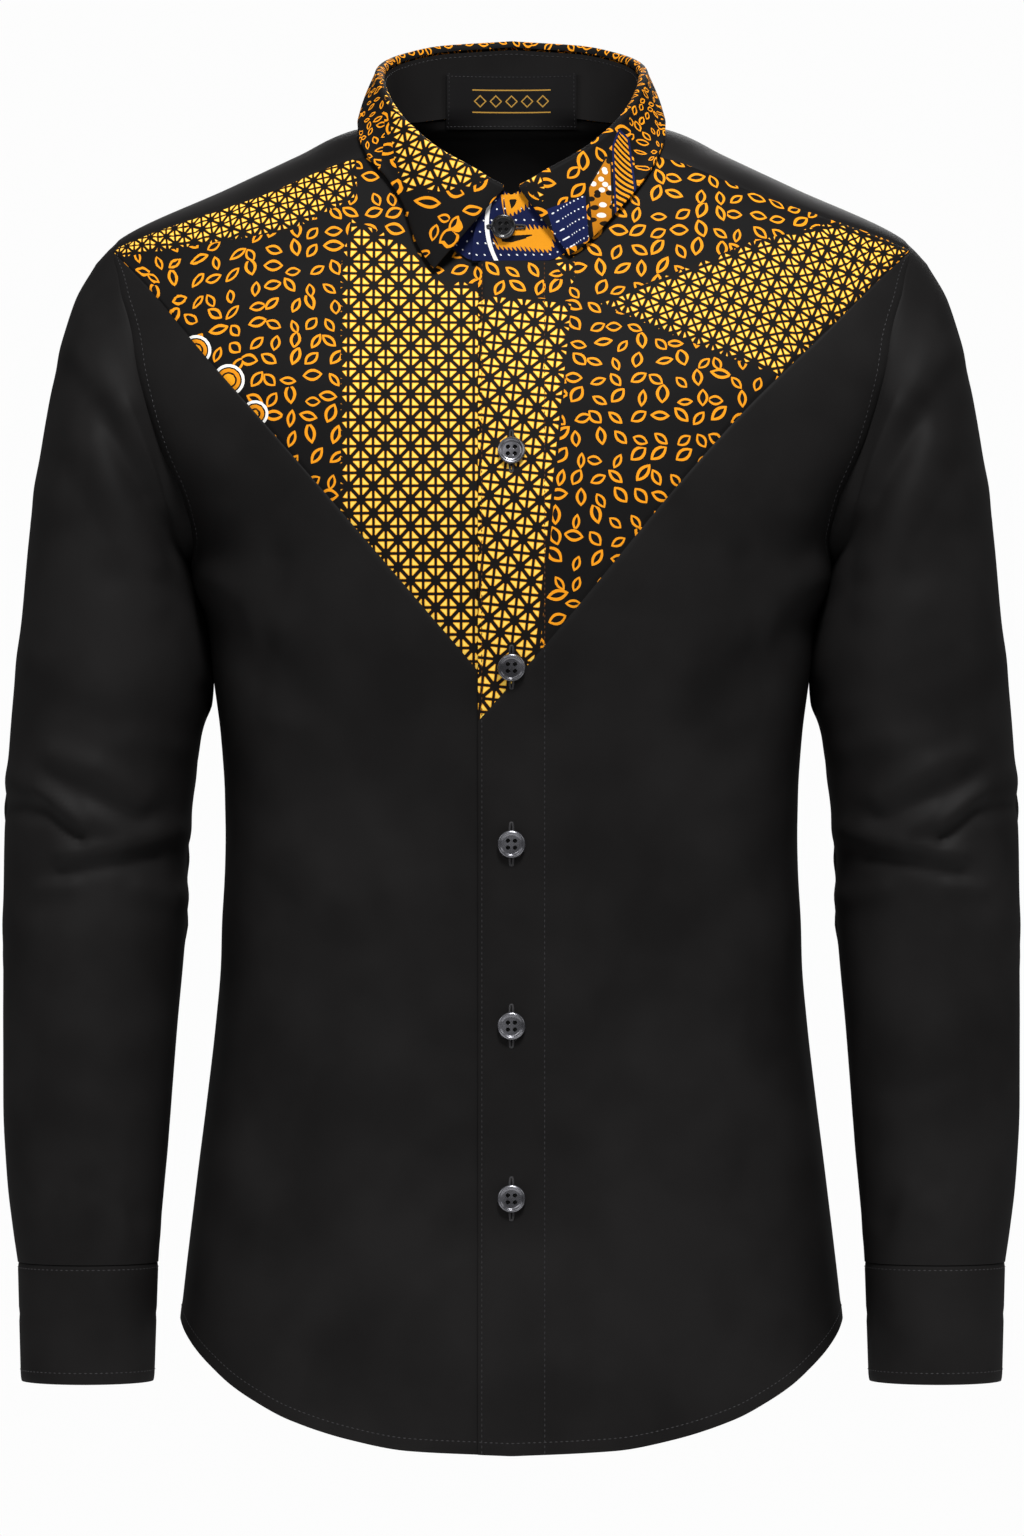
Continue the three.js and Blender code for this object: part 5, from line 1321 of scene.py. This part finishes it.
def button_material(name, dark, light, pearl):
    """Polished polyester resin: glassy, with a pearly smoke in it that shines like metal and
    drifts over about 17 mm, so from button to button."""
    made, tree, shader = new_material(name, **{
        "Roughness": 0.26, "IOR": 1.56, "Metallic": pearl, "Coat Weight": 0.5,
        "Coat Roughness": 0.06})
    place = node(tree, "TexCoord").outputs["Object"]
    cloud = node(tree, "TexNoise", {"Vector": place, "Scale": 60.0, "Detail": 1.0})
    tone = node(tree, "ValToRGB", {0: cloud.outputs["Fac"]})
    stops = tone.color_ramp.elements
    stops[0].position, stops[0].color = 0.35, srgb(dark)
    stops[1].position, stops[1].color = 0.7, srgb(light)
    # Painted shade: the holes are coloured near-black for the shade in their depth, and for the black
    # thread in them
    colour = over(tree, tone.outputs[0], srgb("#040404"), "hole", 0.25)
    tree.links.new(colour, shader.inputs["Base Color"])
    return made


def thread_material(name, colour):
    """Spun polyester thread: slightly shiny, with its twist as a fine bump every 0.35 mm."""
    made, tree, shader = new_material(name, **{
        "Base Color": srgb(colour), "Roughness": 0.5, "Specular IOR Level": 0.4})
    place = node(tree, "TexCoord").outputs["Object"]
    twist = node(tree, "TexWave", {"Vector": place, "Scale": 900.0}, bands_direction="DIAGONAL")
    bump = node(tree, "Bump", {"Height": twist.outputs["Fac"], "Distance": 0.0001})
    tree.links.new(bump.outputs[0], shader.inputs["Normal"])
    return made


def get_material(make, name, *values, **options):
    """The material of that name, made at its first use."""
    return bpy.data.materials.get(name) or make(name, *values, **options)


def sateen():
    """The shirt's black cloth."""
    return get_material(sateen_material, "Black cotton sateen")


def thread():
    """The shirt's black thread."""
    return get_material(thread_material, "Black thread", "#29282a")


class ShirtSettings(bpy.types.PropertyGroup):
    """Sizes and colours that a user may change."""

    wall: bpy.props.FloatProperty(
        name="Cloth", description="Thickness of a single layer", default=0.0008,
        min=0.0003, max=0.0012, precision=4, unit="LENGTH")
    stitch_pitch: bpy.props.FloatProperty(
        name="Stitch pitch", description="Distance from one stitch to the next",
        default=0.003, min=0.0015, max=0.006, precision=4, unit="LENGTH")
    grey_dark: bpy.props.StringProperty(
        name="Button dark", description="Darker tone of the front buttons", default="#48484c")
    grey_light: bpy.props.StringProperty(
        name="Button light", description="Lighter tone of the front buttons", default="#85858b")
    backdrop: bpy.props.FloatVectorProperty(
        name="Backdrop", description="Colour behind the shirt", subtype="COLOR", size=3,
        default=(0.98, 0.98, 0.98), min=0, max=1)
    key_power: bpy.props.FloatProperty(
        name="Key light", description="Power of the main soft light", default=48.0, min=0,
        unit="POWER")


class ShirtFronts(bpy.types.Operator):
    """Builds both lower fronts and both printed insets"""

    bl_idname = "shirt.fronts"
    bl_label = "Fronts and insets"

    def execute(self, context):
        wall = context.scene.shirt.wall * 1000
        for side, left in SIDES:
            lower, upper_cells, upper = front_grids(left)
            flat = flat_front(upper_cells, upper) * np.array([1 if left else -1, 1])
            lower, upper = on_side(lower, left), on_side(upper, left)
            piece = cloth_mesh(f"front_panel_{side}", lower, wall, sateen(),
                               normals=body_normal(lower))
            dress(piece, f"front_{side}")
            zones = LATTICE_LEFT if left else LATTICE_RIGHT
            marks, turned = print_marks(upper, flat, zones, scallops=not left)
            printed = get_material(print_material, f"Wax print, {side} inset", scallops=not left)
            piece = cloth_mesh(f"inset_panel_{side}", upper, wall, printed, flat=flat,
                               turned=turned, marks=marks, normals=body_normal(upper))
            dress(piece, f"inset_{side}")
        return {"FINISHED"}


class ShirtBack(bpy.types.Operator):
    """Builds the back and the yoke"""

    bl_idname = "shirt.back"
    bl_label = "Back and yoke"

    def execute(self, context):
        wall = context.scene.shirt.wall * 1000
        for name, grid, node_name in (("back_panel", back_grid(), "back"),
                                      ("yoke_panel", yoke_grid(), "yoke")):
            piece = cloth_mesh(name, grid, wall, sateen(), normals=body_normal(grid))
            dress(piece, node_name)
        return {"FINISHED"}


class ShirtSleeves(bpy.types.Operator):
    """Builds the sleeves, their placket strips and the cuffs"""

    bl_idname = "shirt.sleeves"
    bl_label = "Sleeves and cuffs"

    def execute(self, context):
        wall = context.scene.shirt.wall * 1000
        turns = np.linspace(0, 360, SLEEVE_COLUMNS, endpoint=False)
        steps = len(SLEEVE_RINGS)
        t = np.append(TUCK_AT, np.arange(0, steps * RING_STEPS + 1) / RING_STEPS)
        sleeve = sleeve_grid(turns, t)
        beside = sleeve_grid(turns, np.linspace(STRIP_FIRST_RING, steps, 60))
        beside_normal = grid_normals(beside, True)
        columns = slice(*STRIP_COLUMNS)
        strip = (beside + beside_normal * STRIP_LIFT)[:, columns]
        cuff = cuff_grid()
        parts = (
            ("sleeve_cloth", "sleeve", sleeve, wall, grid_normals(sleeve, True), True),
            ("sleeve_strip", "sleeve_placket", strip, wall, beside_normal[:, columns], False),
            ("cuff_cloth", "cuff", cuff, CUFF_WALL, grid_normals(cuff), False),
        )
        for side, left in SIDES:
            for name, node_name, grid, thick, normal, around in parts:
                piece = cloth_mesh(f"{name}_{side}", on_side(grid, left), thick, sateen(),
                                   around=around, normals=on_side(normal, left))
                dress(piece, f"{node_name}_{side}")
        return {"FINISHED"}


class ShirtCollar(bpy.types.Operator):
    """Builds the collar stand and leaf"""

    bl_idname = "shirt.collar"
    bl_label = "Collar"

    def execute(self, context):
        stand, normal = stand_grid()
        x, z = seen_from_camera(stand)
        behind = np.where(stand[..., 1] > -40, -50, 1e3)
        marks = {
            "lattice": np.full(x.shape, -1.0),
            "stand_navy": np.minimum(behind, 60 - np.abs(x)),
            "stand_line": np.minimum(behind, 1.2 - np.abs(x + 14 - 0.012 * (z + 20) ** 2)),
            "stand_bars": np.minimum(behind, np.max(
                [inside_polygon(x, z, corners) for corners in STAND_BARS], axis=0)),
        }
        printed = get_material(print_material, "Wax print, stand", stand=True)
        piece = cloth_mesh("collar_stand_cloth", stand, STAND_CLOTH, printed, marks=marks,
                           turned=flat_by_length(stand), inside=sateen(), normals=normal)
        dress(piece, "collar_stand")
        leaf, normal = leaf_grid()
        flat = flat_leaf(leaf)
        marks, turned = print_marks(leaf, flat, LATTICE_COLLAR, bands=True)
        printed = get_material(print_material, "Wax print, collar", bands=True)
        piece = cloth_mesh("collar_leaf_cloth", leaf, LEAF_CLOTH, printed, flat=flat, turned=turned,
                           marks=marks, normals=normal)
        dress(piece, "collar_leaf")
        return {"FINISHED"}


class ShirtLabel(bpy.types.Operator):
    """Builds the woven label inside the back neck"""

    bl_idname = "shirt.label"
    bl_label = "Label"

    def execute(self, context):
        grid = label_grid()
        normal = np.broadcast_to(np.array([0.0, 1.0, 0.0]), grid.shape)
        satin = get_material(label_material, "Woven satin label")
        piece = cloth_mesh("label_satin", grid, LABEL["wall"], satin, normals=normal)
        dress(piece, "neck_label")
        front = grid - normal * LABEL["wall"]
        rows = [stitch_row(*inset_path(front, -normal, side, LABEL_STITCH), pitch=2.4, length=1.6)
                for side in ("foot", "top", "start", "end")]
        sew("label_stitches", rows, thread())
        return {"FINISHED"}


class ShirtButtons(bpy.types.Operator):
    """Builds the buttons, their thread and the buttonholes"""

    bl_idname = "shirt.buttons"
    bl_label = "Buttons"

    def execute(self, context):
        settings = context.scene.shirt
        grey = get_material(button_material, "Smoky resin", settings.grey_dark, settings.grey_light, 0.75)
        black = get_material(button_material, "Black resin", "#0c0c0d", "#1d1d20", 0.0)
        places = []
        for i, z in enumerate(FRONT_BUTTON_HEIGHTS):
            point = body_point(0.0, float(z))
            normal = body_normal(point)
            places.append((f"button_front_{i + 1}", point + normal * LAP_LIFT, normal, 1, grey,
                           "grey_button"))
        low, high = neck_point(np.array(0.0)), fold_point(np.array(0.0)) - (0, 0, STAND_DROP)
        point = lerp(low, high, (COLLAR_BUTTON_Z - low[2]) / (high[2] - low[2]))
        point[0] = COLLAR_BUTTON_X
        front = np.array([0.0, -1.0, 0.0])
        places.append(("button_collar", point + front * STAND_LIFT, front, COLLAR_BUTTON_SCALE,
                       black, "black_button"))
        row = {key: lerp(SLEEVE[key][-1], CUFF_BOTTOM[key], 0.5) for key in CUFF_BOTTOM}
        z = CUFF_TOP - CUFF_TALL / 2
        before, point, after = oval_ring(row, z, z, np.array([-1, 0, 1.0]) + CUFF_OPENING)
        normal = unit(np.cross(after - before, [0, 0, 1.0]))
        normal = normal * np.sign(normal[1])
        for side, left in SIDES:
            places.append((f"button_cuff_{side}", on_side(point + normal * STAND_LIFT, left),
                           on_side(normal, left), CUFF_BUTTON_SCALE, black, "black_button"))
        threads, holes = [], []
        for name, point, normal, scale, resin, slot in places:
            piece, side, up = button_mesh(f"{name}_resin", point, normal, scale, resin)
            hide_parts(name)
            top = point + normal * (BUTTON_GAP + (BUTTON_THICK - BUTTON_DISH) * scale)
            # The thread is sunk in the holes, so only its ends are drawn
            out = BUTTON_HOLE_OUT * scale * math.sqrt(0.5)
            for across, along in ((-1, -1), (-1, 1), (1, -1), (1, 1)):
                middle = top - normal * THREAD_SINK + side * out * across + up * out * along
                line = np.array([middle - side * scale * 0.5, middle + side * scale * 0.5])
                threads.append(stitch_row(line, np.array([normal, normal]), pitch=scale * 0.8,
                                          length=scale * 0.9, wide=0.3, tall=0.25))
            surface = point + normal * 0.05
            if "front" in name:
                holes.append(buttonhole(surface, side, up, normal, FRONT_BUTTONHOLE))
            elif "collar" in name:
                holes.append(buttonhole(surface + side * 1.5, up, side, normal, COLLAR_BUTTONHOLE))
            else:
                holes.append(buttonhole(surface, up, side, normal, CUFF_BUTTONHOLE, 0.8))
        sew("button_threads", threads, thread())
        sew("buttonholes", holes, thread(), 60)
        return {"FINISHED"}


class ShirtStitching(bpy.types.Operator):
    """Sews the hems, edges, armholes and cuffs"""

    bl_idname = "shirt.stitching"
    bl_label = "Stitching"

    def execute(self, context):
        pitch = context.scene.shirt.stitch_pitch * 1000
        # The armhole's row starts above the side seam on a front and ends at an inset's yoke seam
        above_side = SIDE_STEPS * FRONT_FINENESS + 2
        below_yoke = 8
        hems, armholes, lap, inset_lap = [], [], [], []
        for _, left in SIDES:
            lower, _, upper = front_grids(left)
            lower, upper = on_side(lower, left), on_side(upper, left)
            lower_normal, upper_normal = body_normal(lower), body_normal(upper)
            hems.append(inset_path(lower, lower_normal, "foot", HEM_STITCH))
            points, lifts = inset_path(lower, lower_normal, "end", ARMHOLE_STITCH)
            armholes.append((points[above_side:], lifts[above_side:]))
            points, lifts = inset_path(upper, upper_normal, "end", ARMHOLE_STITCH)
            armholes.append((points[:below_yoke], lifts[:below_yoke]))
            if left:
                lap = [upright_path(lower, lower_normal, x) for x in LAP_STITCHES]
                inset_lap = [upright_path(upper, upper_normal, x) for x in LAP_STITCHES]
        back = back_grid()
        hems.append(inset_path(back, body_normal(back), "foot", HEM_STITCH))
        rows = [stitch_row(*path, pitch) for path in hems + armholes + lap]
        sew("body_stitches", rows, thread())
        brown = get_material(thread_material, "Brown thread", "#5a3412")
        rows = [stitch_row(*path, pitch) for path in inset_lap]
        sew("inset_stitches", rows, brown)
        cuff = cuff_grid()
        normal = grid_normals(cuff)
        rows = []
        for _, left in SIDES:
            for side, distance in CUFF_STITCHES.items():
                path = inset_path(on_side(cuff, left), on_side(normal, left), side, distance)
                rows.append(stitch_row(*path, pitch))
        sew("cuff_stitches", rows, thread())
        stand, normal = stand_grid()
        inner = stand - normal * STAND_CLOTH
        row = stitch_row(*inset_path(inner, -normal, "top", STAND_STITCH), pitch)
        sew("stand_stitches", [row], thread())
        return {"FINISHED"}


class ShirtStage(bpy.types.Operator):
    """Builds the floor, the lights and the camera"""

    bl_idname = "shirt.stage"
    bl_label = "Stage"

    def execute(self, context):
        scene = context.scene
        settings = scene.shirt
        turn = np.linspace(0, 2 * np.pi, FLOOR_SIDES, endpoint=False)
        points = np.stack([np.cos(turn), np.sin(turn), 0 * turn], 1) * FLOOR_RADIUS + (0, 0, FLOOR_Z)
        mesh = bpy.data.meshes.new("floor")
        mesh.from_pydata(points.tolist(), [], [list(range(FLOOR_SIDES))])
        made, _, _ = new_material("Pale floor", **{"Base Color": srgb("#f2f2f2"), "Roughness": 0.9})
        mesh.materials.append(made)
        floor = bpy.data.objects.new("floor", mesh)
        scene.collection.objects.link(floor)
        world = bpy.data.worlds.new("Studio")
        world.use_nodes = True
        tree = world.node_tree
        tree.nodes.clear()
        path = node(tree, "LightPath").outputs["Is Camera Ray"]
        soft = node(tree, "Background", {0: (1, 1, 1, 1), 1: WORLD_LIGHT}).outputs[0]
        plain = node(tree, "Background", {0: (*settings.backdrop, 1), 1: 1.0}).outputs[0]
        both = node(tree, "MixShader", {0: path, 1: soft, 2: plain}).outputs[0]
        node(tree, "OutputWorld", {0: both})
        scene.world = world
        for name, (place, size, share) in LIGHTS.items():
            light = bpy.data.lights.new(name, "AREA")
            light.size = size
            light.energy = settings.key_power * share
            lamp = bpy.data.objects.new(name, light)
            lamp.location = place
            aim = Vector(LIGHT_AIM) - Vector(place)
            lamp.rotation_euler = aim.to_track_quat("-Z", "Y").to_euler()
            scene.collection.objects.link(lamp)
        camera = bpy.data.cameras.new("camera")
        camera.lens = CAMERA_LENS
        camera.sensor_width = SENSOR
        camera.clip_start, camera.clip_end = 0.5, 40
        eye = bpy.data.objects.new("camera", camera)
        eye.location = (CAMERA_X * 0.001, -CAMERA_DISTANCE * 0.001, CAMERA_Z * 0.001)
        eye.rotation_euler = (math.pi / 2, 0, 0)
        scene.collection.objects.link(eye)
        scene.camera = eye
        scene.view_settings.view_transform = "Standard"
        return {"FINISHED"}


class ShirtPanel(bpy.types.Panel):
    """Lists the settings and the pieces"""

    bl_idname = "VIEW3D_PT_shirt"
    bl_label = "Shirt"
    bl_space_type = "VIEW_3D"
    bl_region_type = "UI"
    bl_category = "Shirt"

    def draw(self, context):
        for name in ShirtSettings.__annotations__:
            self.layout.prop(context.scene.shirt, name)
        for operator in OPERATORS:
            self.layout.operator(operator.bl_idname)


OPERATORS = (ShirtFronts, ShirtBack, ShirtSleeves, ShirtCollar, ShirtLabel, ShirtButtons,
             ShirtStitching, ShirtStage)
CLASSES = (ShirtSettings, *OPERATORS, ShirtPanel)


def register():
    """Adds the settings, the operators and the panel."""
    for each in CLASSES:
        bpy.utils.register_class(each)
    bpy.types.Scene.shirt = bpy.props.PointerProperty(type=ShirtSettings)


def unregister():
    """Takes them away again."""
    del bpy.types.Scene.shirt
    for each in reversed(CLASSES):
        bpy.utils.unregister_class(each)


def main():
    """Builds the pieces in order."""
    register()
    bpy.ops.shirt.fronts()
    bpy.ops.shirt.back()
    bpy.ops.shirt.sleeves()
    bpy.ops.shirt.collar()
    bpy.ops.shirt.label()
    bpy.ops.shirt.buttons()
    bpy.ops.shirt.stitching()
    bpy.ops.shirt.stage()


if __name__ == "__main__":
    main()
